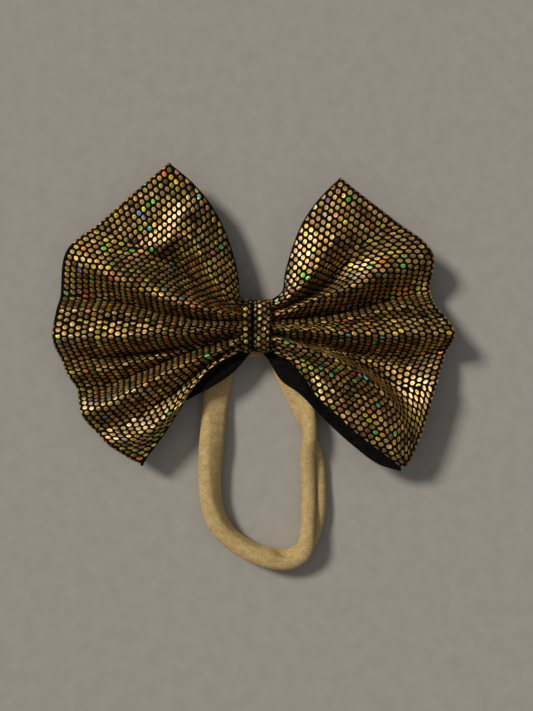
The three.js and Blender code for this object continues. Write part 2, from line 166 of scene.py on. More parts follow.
def add_uv(piece, uv_of_vertex):
    layer = piece.data.uv_layers.new(name="fabric")
    loops = np.zeros(len(piece.data.loops), np.int32)
    piece.data.loops.foreach_get("vertex_index", loops)
    layer.data.foreach_set("uv", np.asarray(uv_of_vertex, float)[loops].ravel())


def grid_faces(rows, columns, start=0, flip=False, wrap_columns=False):
    faces = []
    reach = columns if wrap_columns else columns - 1
    for r in range(rows - 1):
        for c in range(reach):
            a = start + r * columns + c
            b = start + r * columns + (c + 1) % columns
            quad = [a, b, b + columns, a + columns]
            faces.append(quad[::-1] if flip else quad)
    return faces


def border_of(rows, columns):
    edge = list(range(columns))
    edge += [r * columns + columns - 1 for r in range(1, rows)]
    edge += [(rows - 1) * columns + c for c in range(columns - 2, -1, -1)]
    edge += [r * columns for r in range(rows - 2, 0, -1)]
    return edge


def closed_sheet(name, outer, inner, materials, uv=None):
    """A closed sheet between two grids of points. outer is the side that faces out of the part."""
    rows, columns, _ = outer.shape
    count = rows * columns
    points = np.concatenate([outer.reshape(-1, 3), inner.reshape(-1, 3)])
    middle = grid_normals(outer)[rows // 2, columns // 2]
    gap = (outer - inner)[rows // 2, columns // 2]
    flip = float(middle @ gap) > 0
    faces = grid_faces(rows, columns, 0, flip)
    faces += grid_faces(rows, columns, count, not flip)
    edge = border_of(rows, columns)
    for k, a in enumerate(edge):
        b = edge[(k + 1) % len(edge)]
        quad = [a, a + count, b + count, b]
        faces.append(quad[::-1] if flip else quad)
    piece = link_mesh(name, points, faces, materials)
    if uv is not None:
        add_uv(piece, np.concatenate([uv.reshape(-1, 2), uv.reshape(-1, 2)]))
    return piece


def tube(name, rings, materials):
    """A closed body from an array of rings, shape (rings, points, 3), with a fan over each end."""
    count, sides, _ = rings.shape
    ends = [rings[0].mean(0), rings[-1].mean(0)]
    points = np.concatenate([rings.reshape(-1, 3), np.array(ends)])
    faces = grid_faces(count, sides, 0, False, True)
    first = count * sides
    last = (count - 1) * sides
    for k in range(sides):
        n = (k + 1) % sides
        faces.append([first, n, k])
        faces.append([first + 1, last + k, last + n])
    piece = link_mesh(name, points, faces, materials)
    make_outward(piece)
    return piece


def round_tube(name, path, radius, sides, crossing, materials):
    """A thin round tube along a path that never runs in the crossing direction."""
    along = unit(np.gradient(path, axis=0))
    side = unit(np.cross(along, crossing))
    over = np.cross(side, along)
    angle = circle(sides)
    spokes = np.cos(angle)[None, :, None] * side[:, None] + np.sin(angle)[None, :, None] * over[:, None]
    return tube(name, path[:, None] + radius * spokes, materials)


def make_outward(piece):
    work = bmesh.new()
    work.from_mesh(piece.data)
    bmesh.ops.recalc_face_normals(work, faces=work.faces)
    work.to_mesh(piece.data)
    work.free()


# ---- materials ---------------------------------------------------------------------------------
class Nodes:
    """A material's node tree, with short calls for the few kinds of node used here."""

    def __init__(self, name):
        self.material = bpy.data.materials.new(name)
        self.material.use_nodes = True
        self.tree = self.material.node_tree
        self.shader = self.tree.nodes["Principled BSDF"]

    def node(self, kind, **settings):
        made = self.tree.nodes.new(kind)
        for key, value in settings.items():
            if key in made.inputs:
                made.inputs[key].default_value = value
            else:
                setattr(made, key, value)
        return made

    def link(self, out, into):
        self.tree.links.new(out, into)

    def set(self, **values):
        for key, value in values.items():
            self.shader.inputs[key.replace("_", " ")].default_value = value

    def coordinates(self, scale=(1, 1, 1), source="Object"):
        place = self.node("ShaderNodeTexCoord")
        turn = self.node("ShaderNodeMapping")
        turn.inputs["Scale"].default_value = scale
        self.link(place.outputs[source], turn.inputs["Vector"])
        return turn.outputs["Vector"]

    def noise(self, vector, scale, detail=2.0, roughness=0.5):
        made = self.node("ShaderNodeTexNoise", Scale=scale, Detail=detail, Roughness=roughness)
        self.link(vector, made.inputs["Vector"])
        return made.outputs["Fac"]

    def ramp(self, factor, stops):
        made = self.node("ShaderNodeValToRGB")
        made.color_ramp.elements[0].position = stops[0][0]
        made.color_ramp.elements[0].color = (*stops[0][1], 1)
        made.color_ramp.elements[1].position = stops[-1][0]
        made.color_ramp.elements[1].color = (*stops[-1][1], 1)
        for position, colour in stops[1:-1]:
            added = made.color_ramp.elements.new(position)
            added.color = (*colour, 1)
        self.link(factor, made.inputs["Fac"])
        return made.outputs["Color"]

    def base_colour(self, factor, stops):
        self.link(self.ramp(factor, stops), self.shader.inputs["Base Color"])

    def math(self, operation, a, b):
        made = self.node("ShaderNodeMath", operation=operation)
        for socket, value in zip(made.inputs, (a, b)):
            if isinstance(value, (int, float)):
                socket.default_value = value
            else:
                self.link(value, socket)
        return made.outputs["Value"]

    def span(self, factor, low, high):
        made = self.node("ShaderNodeMapRange")
        made.inputs["To Min"].default_value = low
        made.inputs["To Max"].default_value = high
        self.link(factor, made.inputs["Value"])
        return made.outputs["Result"]

    def bump(self, height, distance, strength=1.0):
        made = self.node("ShaderNodeBump", Strength=strength, Distance=distance)
        self.link(height, made.inputs["Height"])
        self.link(made.outputs["Normal"], self.shader.inputs["Normal"])


def black_knit():
    """Fine black warp knit, with the small wales of stretch fabric."""
    m = Nodes("black_knit")
    uv = m.coordinates(source="UV")
    wales = m.node("ShaderNodeTexWave", Scale=1.0, Distortion=0.6, bands_direction="X")
    m.link(m.coordinates((2600, 2600, 1), "UV"), wales.inputs["Vector"])
    courses = m.node("ShaderNodeTexWave", Scale=1.0, Distortion=0.6, bands_direction="Y")
    m.link(m.coordinates((2600, 2100, 1), "UV"), courses.inputs["Vector"])
    height = m.math("MULTIPLY", wales.outputs["Fac"], courses.outputs["Fac"])
    m.base_colour(m.noise(uv, 420, 3), [(0.3, (0.0015, 0.0015, 0.0015)), (0.75, (0.005, 0.0045, 0.0045))])
    m.link(m.span(height, 0.62, 0.8), m.shader.inputs["Roughness"])
    m.shader.inputs["Specular IOR Level"].default_value = 0.12
    m.bump(height, 0.00006)
    return m.material


def black_felt():
    """Matte black backing with a brushed, slightly mottled face."""
    m = Nodes("black_backing")
    place = m.coordinates()
    fibres = m.noise(place, 2600, 5, 0.65)
    clumps = m.noise(place, 650, 3, 0.6)
    height = m.math("ADD", fibres, m.math("MULTIPLY", clumps, 1.2))
    m.base_colour(
        m.math("MULTIPLY", height, 0.45),
        [(0.36, (0.0015, 0.0015, 0.0015)), (0.5, (0.004, 0.004, 0.004)), (0.68, (0.013, 0.013, 0.013))])
    m.set(Roughness=0.93, Sheen_Weight=0.02, Sheen_Roughness=0.5)
    m.shader.inputs["Specular IOR Level"].default_value = 0.1
    m.bump(height, 0.00016, 0.9)
    return m.material


def foil():
    """Gold holographic foil: each dot has its own tint, lighter in a ring and darker in the middle, and its
    colour also carries painted highlights, glints and a painted lit side.
    """
    m = Nodes("gold_foil")
    tint = m.node("ShaderNodeAttribute", attribute_name="dot_color")
    m.link(tint.outputs["Color"], m.shader.inputs["Base Color"])
    grain = m.noise(m.coordinates(), 1900, 2)
    m.link(m.span(grain, 0.5, 0.62), m.shader.inputs["Roughness"])
    m.set(Metallic=1.0)
    m.bump(grain, 0.00002, 0.7)
    return m.material


def nylon():
    """Soft brushed nylon knit in tan."""
    m = Nodes("nylon_band")
    place = m.coordinates()
    fuzz = m.noise(place, 3000, 5, 0.75)
    patches = m.noise(place, 520, 3, 0.55)
    height = m.math("ADD", fuzz, m.math("MULTIPLY", patches, 0.25))
    m.base_colour(
        m.math("MULTIPLY", height, 0.8),
        [(0.36, (0.34, 0.23, 0.085)), (0.5, (0.62, 0.45, 0.20)), (0.64, (0.90, 0.70, 0.37))])
    m.set(Roughness=0.9, Sheen_Weight=0.12, Sheen_Roughness=0.45)
    m.shader.inputs["Sheen Tint"].default_value = (1.0, 0.86, 0.62, 1)
    m.shader.inputs["Specular IOR Level"].default_value = 0.25
    m.bump(height, 0.00022, 1.0)
    return m.material


def interlining():
    """Dark bonded fibre."""
    m = Nodes("interlining")
    fibres = m.noise(m.coordinates(), 1800, 4, 0.7)
    m.base_colour(fibres, [(0.3, (0.02, 0.02, 0.022)), (0.7, (0.07, 0.07, 0.075))])
    m.set(Roughness=0.95)
    m.bump(fibres, 0.0001)
    return m.material


def thread():
    """Black sewing thread, with its ply as slanting bands."""
    m = Nodes("black_thread")
    ply = m.node("ShaderNodeTexWave", Scale=1.0, Distortion=1.0, bands_direction="DIAGONAL")
    m.link(m.coordinates((900, 900, 900)), ply.inputs["Vector"])
    m.base_colour(ply.outputs["Fac"], [(0.2, (0.006, 0.006, 0.006)), (0.8, (0.03, 0.03, 0.03))])
    m.set(Roughness=0.6)
    m.bump(ply.outputs["Fac"], 0.00008)
    return m.material


def set_glue():
    """Set hot glue, cloudy and slightly glossy."""
    m = Nodes("glue")
    clouds = m.noise(m.coordinates(), 500, 2)
    m.base_colour(clouds, [(0.3, (0.55, 0.47, 0.30)), (0.7, (0.75, 0.68, 0.50))])
    m.link(m.span(clouds, 0.2, 0.4), m.shader.inputs["Roughness"])
    m.set(Subsurface_Weight=0.2)
    m.bump(clouds, 0.0002, 0.5)
    return m.material


def pale_floor():
    """A plain pale floor with a faint grain."""
    m = Nodes("pale_floor")
    grain = m.noise(m.coordinates(), 220, 4)
    m.base_colour(grain, [(0.3, (0.40, 0.385, 0.36)), (0.7, (0.44, 0.425, 0.40))])
    m.set(Roughness=0.85)
    m.bump(grain, 0.00005, 0.4)
    return m.material


KNIT = black_knit()
FELT = black_felt()
FOIL = foil()
NYLON = nylon()
INTERLINING = interlining()
THREAD = thread()
GLUE = set_glue()

make_camera()

# ---- headband ----------------------------------------------------------------------------------
HALF_WIDTH = 4.8  # half the strip's width with its edges rolled
ROLL = 2.4  # radius of a rolled edge
FLOOR_CLEAR = 0.1
# Each row: place in plan, angle in degrees of the smooth face from straight up towards the inside
# of the loop, and how full the rolled edges are.
BAND_ROUTE = [
    (-5.3, -4.7, 0, 0.58), (-6.6, -4.73, 0, 0.6), (-10.2, -6.3, 0, 0.6), (-12.0, -10.4, 4, 0.6),
    (-12.8, -18.4, 10, 0.64), (-13.9, -28.0, 22, 0.8), (-14.9, -38.0, 34, 1), (-15.5, -46.0, 42, 1),
    (-15.5, -54.0, 52, 1), (-14.3, -60.8, 62, 1), (-11.6, -66.6, 74, 1), (-6.8, -71.2, 80, 1),
    (-1.0, -74.4, 78, 1), (5.0, -76.2, 70, 1), (11.0, -76.4, 72, 1), (15.6, -73.4, 88, 1),
    (17.9, -66.8, 122, 1), (18.9, -58.4, 144, 1), (19.1, -50.6, 150, 1), (18.6, -43.0, 138, 1),
    (17.4, -35.6, 92, 1), (15.0, -27.6, 38, 0.84), (12.2, -20.0, 14, 0.68), (9.9, -14.0, 8, 0.6),
    (8.6, -9.9, 2, 0.58), (7.1, -6.2, 0, 0.58), (4.1, -4.73, 0, 0.58), (3.0, -4.7, 0, 0.58),
]
NECK_LEFT = 0.075  # share of the route where the left neck ends and the loop starts
NECK_RIGHT = 0.925
# Where the strip is narrow with a bulged face, and where its outer roll is the smaller one. Each
# comes in between the first two shares of the route and goes out between the last two.
BULGED = (0.1, 0.24, 0.54, 0.64)
UNEVEN = (0.6, 0.68, 0.8, 0.88)
BULGE = 0.95  # how much further the bulged face stands up
NARROWING = 0.16  # and the share of its width that the strip loses there
# The pinch where the strip folds over itself: the pit and the lip beside it, each as its centre, its
# size along x, y and z, and the inward pull at its centre. The strip's surface passes beside the
# centres, and moves less.
FOLD_PINCH = [((9.4, -73.0, 8.0), (2.8, 1.7, 3.4), 3.4), ((4.6, -73.4, 8.2), (2.4, 1.9, 3.0), -1.0)]


def band_section():
    """The strip's section: a smooth face above, two rolled edges with a narrow groove below."""
    centre = HALF_WIDTH - ROLL
    right = []
    for degrees in range(80, -161, -12):
        angle = math.radians(degrees)
        right.append((centre + ROLL * math.cos(angle), ROLL * math.sin(angle)))
    groove = [(0.10, -0.15), (0.0, 0.25), (-0.10, -0.15)]
    left = [(-u, v) for u, v in reversed(right)]
    web = [(u, ROLL * 0.98) for u in (-1.9, -0.95, 0.0, 0.95, 1.9)]
    return np.array(right + groove + left + web)


def stretch_of_route(t, limits):
    """1 within a stretch of the route, and 0 away from it."""
    return float(smooth(t, *limits[:2]) * (1 - smooth(t, *limits[2:])))


def band_rings(start, end, count):
    """Rings of the strip between two shares of its route, and their centres."""
    section = band_section()
    t = np.linspace(start, end, count)
    at = t * (len(BAND_ROUTE) - 1)
    plan = [(x, y, 0) for x, y, _, _ in BAND_ROUTE]
    route = curve_through(plan, at)
    ahead = curve_through(plan, np.clip(at + 0.02, 0, None))
    behind = curve_through(plan, np.clip(at - 0.02, 0, None))
    along = unit(ahead - behind)
    shape = curve_through([(turn, full, 0) for _, _, turn, full in BAND_ROUTE], at)
    rings = []
    for k in range(count):
        turn = math.radians(shape[k, 0])
        full = shape[k, 1] * (1 + 0.03 * math.sin(37 * t[k]) + 0.02 * math.sin(91 * t[k] + 1))
        inward = np.array([-along[k, 1], along[k, 0], 0])
        face = np.array([0, 0, math.cos(turn)]) + inward * math.sin(turn)
        width = np.cross(along[k], face)
        bulged = stretch_of_route(t[k], BULGED)
        uneven = stretch_of_route(t[k], UNEVEN)
        slim = 1 + 0.02 * math.sin(53 * t[k] + 2) - NARROWING * bulged
        u = section[:, 0] * slim
        v = section[:, 1] * full
        v = v + BULGE * bulged * (1 - (u / HALF_WIDTH) ** 2) * smooth(v, 0, 2)
        smaller = 1 - smooth(u, -1.2, 0.4)
        u = u * (1 + uneven * (0.03 - 0.2 * smaller))
        v = v * (1 - 0.25 * uneven * smaller)
        ring = route[k] + np.outer(u, width) + np.outer(v, face)
        ends = min(t[k], 1 - t[k])
        lift = FLOOR_CLEAR + 0.2 * (1 - float(smooth(ends, 0, 0.12))) - ring[:, 2].min()
        ring[:, 2] += lift
        rings.append(ring)
    rings = np.array(rings)
    return rings, rings.mean(axis=1)


def fold_dimple(rings, centres):
    """The pinch where the strip folds over itself at the tight corner of the loop."""
    depth = np.zeros(rings.shape[:2])
    for place, size, deep in FOLD_PINCH:
        away = np.linalg.norm((rings - place) / size, axis=2)
        depth += deep * np.exp(-away ** 2)
    inward = unit(centres[:, None, :] - rings, 1e-9)
    return rings + inward * depth[..., None]


def band_piece(name, start, end, count):
    rings, centres = band_rings(start, end, count)
    rings = fold_dimple(rings, centres)
    piece = tube(name, rings, [NYLON])
    return piece, centres


loop, loop_path = band_piece("headband_loop", NECK_LEFT, NECK_RIGHT, 300)
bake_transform(loop)
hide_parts("headband_left_strand", "headband_bend", "headband_right_strand")
neck_left, _ = band_piece("headband_left_neck", 0.0, NECK_LEFT, 40)
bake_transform(neck_left)
neck_right, _ = band_piece("headband_right_neck", NECK_RIGHT, 1.0, 40)
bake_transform(neck_right)

# ---- lobes -------------------------------------------------------------------------------------
# Each fold line runs from inside the knot out to the rim. Even rows are valleys or edges, odd rows
# are ridges. The first row is the lobe's top edge and the last its bottom edge.
LEFT_FOLDS = [
    [(-2, 7.0, 9.9), (-5.2, 8.6, 12.2), (-6.0, 14.5, 11.2), (-8.2, 24, 10.6), (-13.3, 36, 11.0),
     (-20.3, 45.0, 12.6), (-27.3, 50.9, 14.5)],
    [(-2, 5.6, 12.8), (-6.4, 6.8, 15.4), (-9.6, 9.8, 17.3), (-13.6, 15.6, 16.9), (-17.6, 24.0, 15.0),
     (-21.4, 33.0, 13.8), (-25.4, 42, 13.6), (-29.8, 48.9, 13.8)],
    [(-2, 4.2, 10.9), (-7, 4.9, 10.4), (-12, 7.6, 7.8), (-17, 12.0, 5.6), (-22, 17, 5.4),
     (-27, 20.4, 7.6), (-33, 23.0, 10.6), (-41, 26.4, 11.8), (-50.6, 31.2, 12.8)],
    [(-2, 2.8, 12.6), (-8, 3.5, 14.8), (-16, 4.9, 16.6), (-22, 6.3, 16.9), (-28, 8.1, 16.8),
     (-34, 10.3, 16.4), (-40, 12.6, 16), (-46, 15.6, 15.4), (-52, 18.8, 14.8), (-59.4, 24.0, 13.4)],
    [(-2, 1.4, 10.4), (-8, 1.5, 9.4), (-20, 2.2, 7.4), (-30, 3.8, 6.2), (-40, 6.4, 5.8), (-50, 8.8, 6.4),
     (-62.3, 9.4, 9.6)],
    [(-2, 0.7, 12.4), (-8, 0.3, 14.0), (-20, 0.3, 15.6), (-30, 1.6, 15.8), (-40, 3.4, 15.6),
     (-50, 4.4, 15.2), (-62.9, 4.6, 13.8)],
    [(-2, 0.2, 12.4), (-8, -0.4, 13.8), (-20, -0.6, 15.2), (-30, 0.2, 14.9), (-40, 1.1, 14.1),
     (-50, 1.5, 13.8), (-63.6, 1.2, 13.8)],
    [(-2, -0.3, 12.4), (-8, -1.1, 14.6), (-20, -1.9, 16.6), (-30, -2.5, 16.8), (-40, -3.4, 16.6),
     (-52, -3.9, 16.0), (-64.0, -3.4, 14.8)],
    [(-2, -1.5, 10.4), (-8, -3.0, 9.2), (-15, -4.4, 7.2), (-22, -6.0, 6), (-30, -7.8, 5.2), (-40, -9.2, 5.4),
     (-50, -10.4, 6.4), (-61.8, -11.2, 9)],
    [(-2, -1.8, 10.4), (-8, -3.5, 9.3), (-15, -5.2, 7.6), (-22, -7.2, 7.4), (-30, -9.4, 8.4),
     (-40, -11.9, 10), (-50, -14.0, 11), (-59.9, -15.0, 11.8)],
    [(-2, -2.1, 10.4), (-8, -4.0, 9.4), (-15, -6.2, 7.6), (-22, -8.6, 6.4), (-30, -11.6, 5.4),
     (-40, -15.6, 5.2), (-50, -19.2, 6), (-57.3, -19.6, 8.4)],
    [(-2, -3.2, 12.4), (-7, -5.6, 14.0), (-12, -8.2, 15.2), (-20, -11.3, 16.2), (-27, -14.6, 16.8),
     (-35, -18.8, 16.8), (-42, -22.4, 16.4), (-48, -25.6, 15.6), (-54.8, -28.2, 13.6)],
    [(-2, -4.8, 11.2), (-8, -7.5, 11.0), (-14, -11.2, 10.0), (-19, -15.0, 9.4), (-24.5, -19.6, 9.2),
     (-30, -24.2, 9.6), (-37, -28.2, 9.9), (-43, -31.4, 10.2), (-50.6, -33.8, 10.6)],
    [(-2, -5.8, 11.5), (-6.8, -7.7, 12), (-12.7, -11.3, 12.4), (-18.3, -16.1, 12.8), (-23.3, -22.3, 13.2),
     (-28.2, -28.8, 14.0), (-33.8, -33.6, 14.4), (-40.5, -36.0, 14.0), (-47.0, -37.2, 12.6)],
    [(-2, -6.6, 11), (-5.5, -8.5, 11.8), (-12.6, -12.0, 12.1), (-18.2, -17.4, 12.3), (-22.9, -24.0, 12.6),
     (-29, -33.5, 12.2), (-37.0, -44.0, 10.6)],
]
LEFT_LAP = [(-1.5, -7.4, 7.4), (-3.6, -10.0, 7.8), (-8.2, -15.0, 8.4), (-14.5, -19.2, 8.9),
            (-23.3, -24.4, 9.8), (-29.0, -33.0, 9.8), (-37.0, -44.8, 8.6)]
RIGHT_FOLDS = [
    [(2, 7.0, 9.9), (5.4, 8.3, 12.0), (8.2, 10.4, 12.4), (9.2, 15.5, 12.4), (11.6, 24.2, 13.0),
     (15.6, 33.6, 14.0), (20.2, 40.0, 14.4), (26.3, 46.2, 14.4)],
    [(2, 5.6, 12.6), (6.8, 7.2, 14.2), (11, 9.6, 15.6), (15, 13.2, 16.6), (19.6, 19.4, 16.9),
     (23.4, 25.2, 16.6), (27.6, 31.6, 15.8), (33.4, 40.4, 14.4)],
    [(2, 4.3, 10.6), (7.5, 5.5, 10.5), (13, 7.8, 8), (18, 10.8, 6.4), (22.8, 14.8, 6.2), (27.4, 19.2, 9.4),
     (31.6, 23.6, 13.2), (37, 28.4, 14.3), (43.0, 33.0, 14.0)],
    [(2, 3.0, 12.4), (8, 4.0, 13.6), (15, 6.6, 14.8), (20, 8.6, 15.4), (27, 11.2, 15.9), (33, 13.4, 15.8),
     (40, 16.4, 15.4), (48, 19.4, 14.8), (55.5, 22.0, 13.8)],
    [(2, 1.8, 10.4), (8, 1.9, 9.5), (16, 2.6, 7.8), (24, 3.6, 6.5), (32, 5.4, 5.8), (40, 7.6, 5.8),
     (48, 10.0, 6.4), (55.0, 11.8, 8.6)],
    [(2, 0.8, 12.2), (8, 0.5, 13.6), (16, 0.6, 14.4), (24, 1.4, 14.8), (32, 2.8, 15.2), (40, 4.7, 15.8),
     (50, 6.6, 16.2), (55.9, 6.0, 15.6)],
    [(2, 0.1, 12.1), (8, -0.3, 13.3), (16, -0.4, 13.9), (24, 0.0, 13.9), (32, 0.8, 13.8), (40, 1.7, 13.8),
     (50, 2.3, 14.2), (59.2, 2.2, 14.2)],
    [(2, -0.6, 12.4), (8, -1.2, 14), (20, -2.0, 15.2), (30, -2.6, 15.8), (40, -2.6, 16.2),
     (50, -2.8, 16.4), (62.0, -2.4, 15.6)],
    [(2, -1.7, 10.2), (8, -3.1, 9), (15, -4.6, 7), (22, -6.0, 5.8), (30, -8.2, 4.8), (40, -9.4, 4.6),
     (50, -10.2, 5.2), (60.4, -8.2, 8)],
    [(2, -2.0, 10.2), (8, -3.5, 9.1), (15, -5.1, 7.4), (22.1, -6.6, 6.9), (30.2, -9.3, 7.4),
     (40, -12.0, 8.2), (48, -13.6, 9.4), (58.4, -13.4, 10.6)],
    [(2, -2.3, 10.2), (8, -3.9, 9.3), (15, -5.8, 8.2), (22.2, -7.5, 7.6), (30.4, -10.9, 7.2),
     (38.3, -14.8, 6.8), (46, -19.4, 9.4), (56.6, -18.8, 13.4)],
    [(2, -3.5, 12.4), (8, -5.0, 13.4), (14, -6.8, 14), (19.8, -8.8, 14.6), (26.4, -11.9, 15.3),
     (31.3, -15.0, 15.9), (36.6, -18.9, 16.3), (42, -24, 16.3), (45.6, -30, 15.8), (47.6, -36.5, 14.8),
     (48.9, -41.0, 13.6)],
    [(2, -5.0, 11.2), (7, -6.8, 11.3), (13, -9.6, 11.2), (19, -12.4, 10.6), (24, -14.2, 10.2),
     (29, -17.6, 10.8), (34, -23, 12.4), (39, -30, 13.6), (43, -37, 13.8), (47.3, -43.9, 13)],
    [(2, -6.8, 10), (5, -8.6, 10.8), (10.9, -11.6, 11.4), (15, -16.4, 12.2), (19.7, -23.1, 13.4),
     (26.1, -28.8, 14.2), (31, -33.5, 14.2), (37.7, -38.8, 13.4), (45.6, -44.8, 11.8)],
]
RIGHT_LAP = [(1.5, -7.6, 7.2), (4.0, -11.0, 7.6), (8.5, -17.6, 8.6), (13.7, -21.2, 9.6),
             (19.8, -27.6, 10.6), (31, -38.0, 10.8), (39.5, -44.2, 10.4), (46.2, -46.4, 9.2)]

# Soft swells on top of the folds: where each one runs, how high it is and how wide.
LEFT_SWELLS = [
    ([(-17.2, 22.0), (-18.7, 25.0), (-20.8, 27.2), (-23.5, 28.2), (-26.6, 27.4), (-29.6, 25.0)], 1.7, 1.9),
    ([(-18.5, 40.0), (-23.0, 34.8), (-28.0, 29.5), (-33.0, 24.2)], 1.6, 3.0),
]
RIGHT_SWELLS = [
    ([(25.5, 28.0), (28.5, 27.4), (31.6, 24.6)], 0.9, 2.2),
    ([(27.0, -10.4), (32.0, -13.4), (37.0, -17.6), (41.5, -22.6), (44.8, -28.0), (46.6, -34.0),
      (46.8, -40.0)], 1.5, 1.8),
    ([(25.6, -20.4), (27.0, -22.0)], 3.0, 4.6),
    ([(31.0, -30.5), (34.0, -33.0)], 1.4, 3.2),
]

ROW_STEP = 0.75  # from one row of a lobe's surface to the next, in from the rim
SPLITS = 14  # columns from one fold to the next
FRONT_THICK = 0.9
BACK_THICK = 1.0
RIM_ROLL = 1.25  # radius of the turned rim
RIM_THICK = 0.7  # of the front, where it turns over the rim
BACK_RIM_THICK = 0.8
SEAM_UNDER = RIM_ROLL * math.radians(84)  # how far round the rim the front goes before its seam
STITCH = 2.6  # length of a stitch of that seam, which puckers the rim
UP = np.array([0, 0, 1.0])
DOT_PITCH = 1.98  # along the rim, within a column of dots
COLUMN_PITCH = 2.15  # from one column to the next, stretched outward from the knot
DOT_RADIUS = 0.77
DOT_STRETCH = 1.07  # how much longer a dot is outward than along the rim


def fold_lines(folds, side, distances):
    """Points of every fold at each distance inward from the rim, shape (distances, folds, 3)."""
    lines = []
    for fold in folds:
        path = curve_through(fold)[::-1]
        away = run_length(path)
        inside = path[-1] + np.array([-side * 1.6, 0, 0])
        path = np.vstack([path, inside])
        away = np.append(away, away[-1] + 34)
        lines.append(np.stack([np.interp(distances, away, path[:, a]) for a in range(3)], axis=1))
    return np.stack(lines, axis=1)


def pleated(lines, crisp):
    """The surface across the folds: rounded ridges, and valleys that sharpen with crisp."""
    folds = lines.shape[1]
    plan = lines[:, :, :2]
    gap = np.linalg.norm(np.diff(plan, axis=1), axis=2)[..., None] + 1e-6
    slope = np.diff(plan, axis=1) / gap
    turn = np.empty_like(plan)
    turn[:, 1:-1] = (slope[:, :-1] * gap[:, 1:] + slope[:, 1:] * gap[:, :-1]) / (gap[:, :-1] + gap[:, 1:])
    turn[:, 0] = slope[:, 0]
    turn[:, -1] = slope[:, -1]
    made = []
    for k in range(folds - 1):
        share = np.arange(SPLITS) / SPLITS if k < folds - 2 else np.arange(SPLITS + 1) / SPLITS
        for f in share:
            here = hermite(f, gap[:, k], plan[:, k], plan[:, k + 1], turn[:, k], turn[:, k + 1])
            soft = f * f * (3 - 2 * f)
            from_ridge = 1 - math.cos(math.pi * f / 2)
            sharp = from_ridge if k % 2 == 1 else math.sin(math.pi * f / 2)
            mix = soft + (sharp - soft) * crisp
            z = lines[:, k, 2] + (lines[:, k + 1, 2] - lines[:, k, 2]) * mix
            made.append(np.column_stack([here, z]))
    return np.stack(made, axis=1)


def wrinkles(grid, u, seed):
    """Small creases that run out from the knot and die away."""
    rows, columns, _ = grid.shape
    random = np.random.default_rng(seed)
    c = np.arange(columns) / SPLITS
    rise = np.zeros((rows, columns))
    near = smooth(u, 12, 44) * (1 - smooth(u, 56, 62))
    for waves, size in ((1.35, 0.34), (2.2, 0.24), (3.1, 0.16)):
        phase = random.uniform(0, 2 * math.pi)
        drift = random.uniform(-0.03, 0.03)
        swell = 0.5 + 0.5 * np.sin(c * random.uniform(0.6, 1.3) + random.uniform(0, 6))
        rise += size * np.sin(2 * math.pi * (c * waves + u[:, None] * drift) + phase) * swell * (
            0.22 + 0.78 * near[:, None])
    dents = 0.35 * np.sin(u[:, None] / 7.3 + c * 1.7 + seed) * np.sin(c * 2.3 - u[:, None] / 11)
    return rise + dents * bump(u, 22, 22)[:, None]


def swelling(grid, swells):
    """The rise of soft swells over the points of a grid."""
    rise = np.zeros(grid.shape[:2])
    for path, height, width in swells:
        line = curve_through([(*point, 0) for point in path], samples=60)[:, :2]
        away = np.linalg.norm(grid[:, :, None, :2] - line[None, None], axis=3).min(axis=2)
        rise += height * np.exp(-((away / width) ** 2))
    return rise


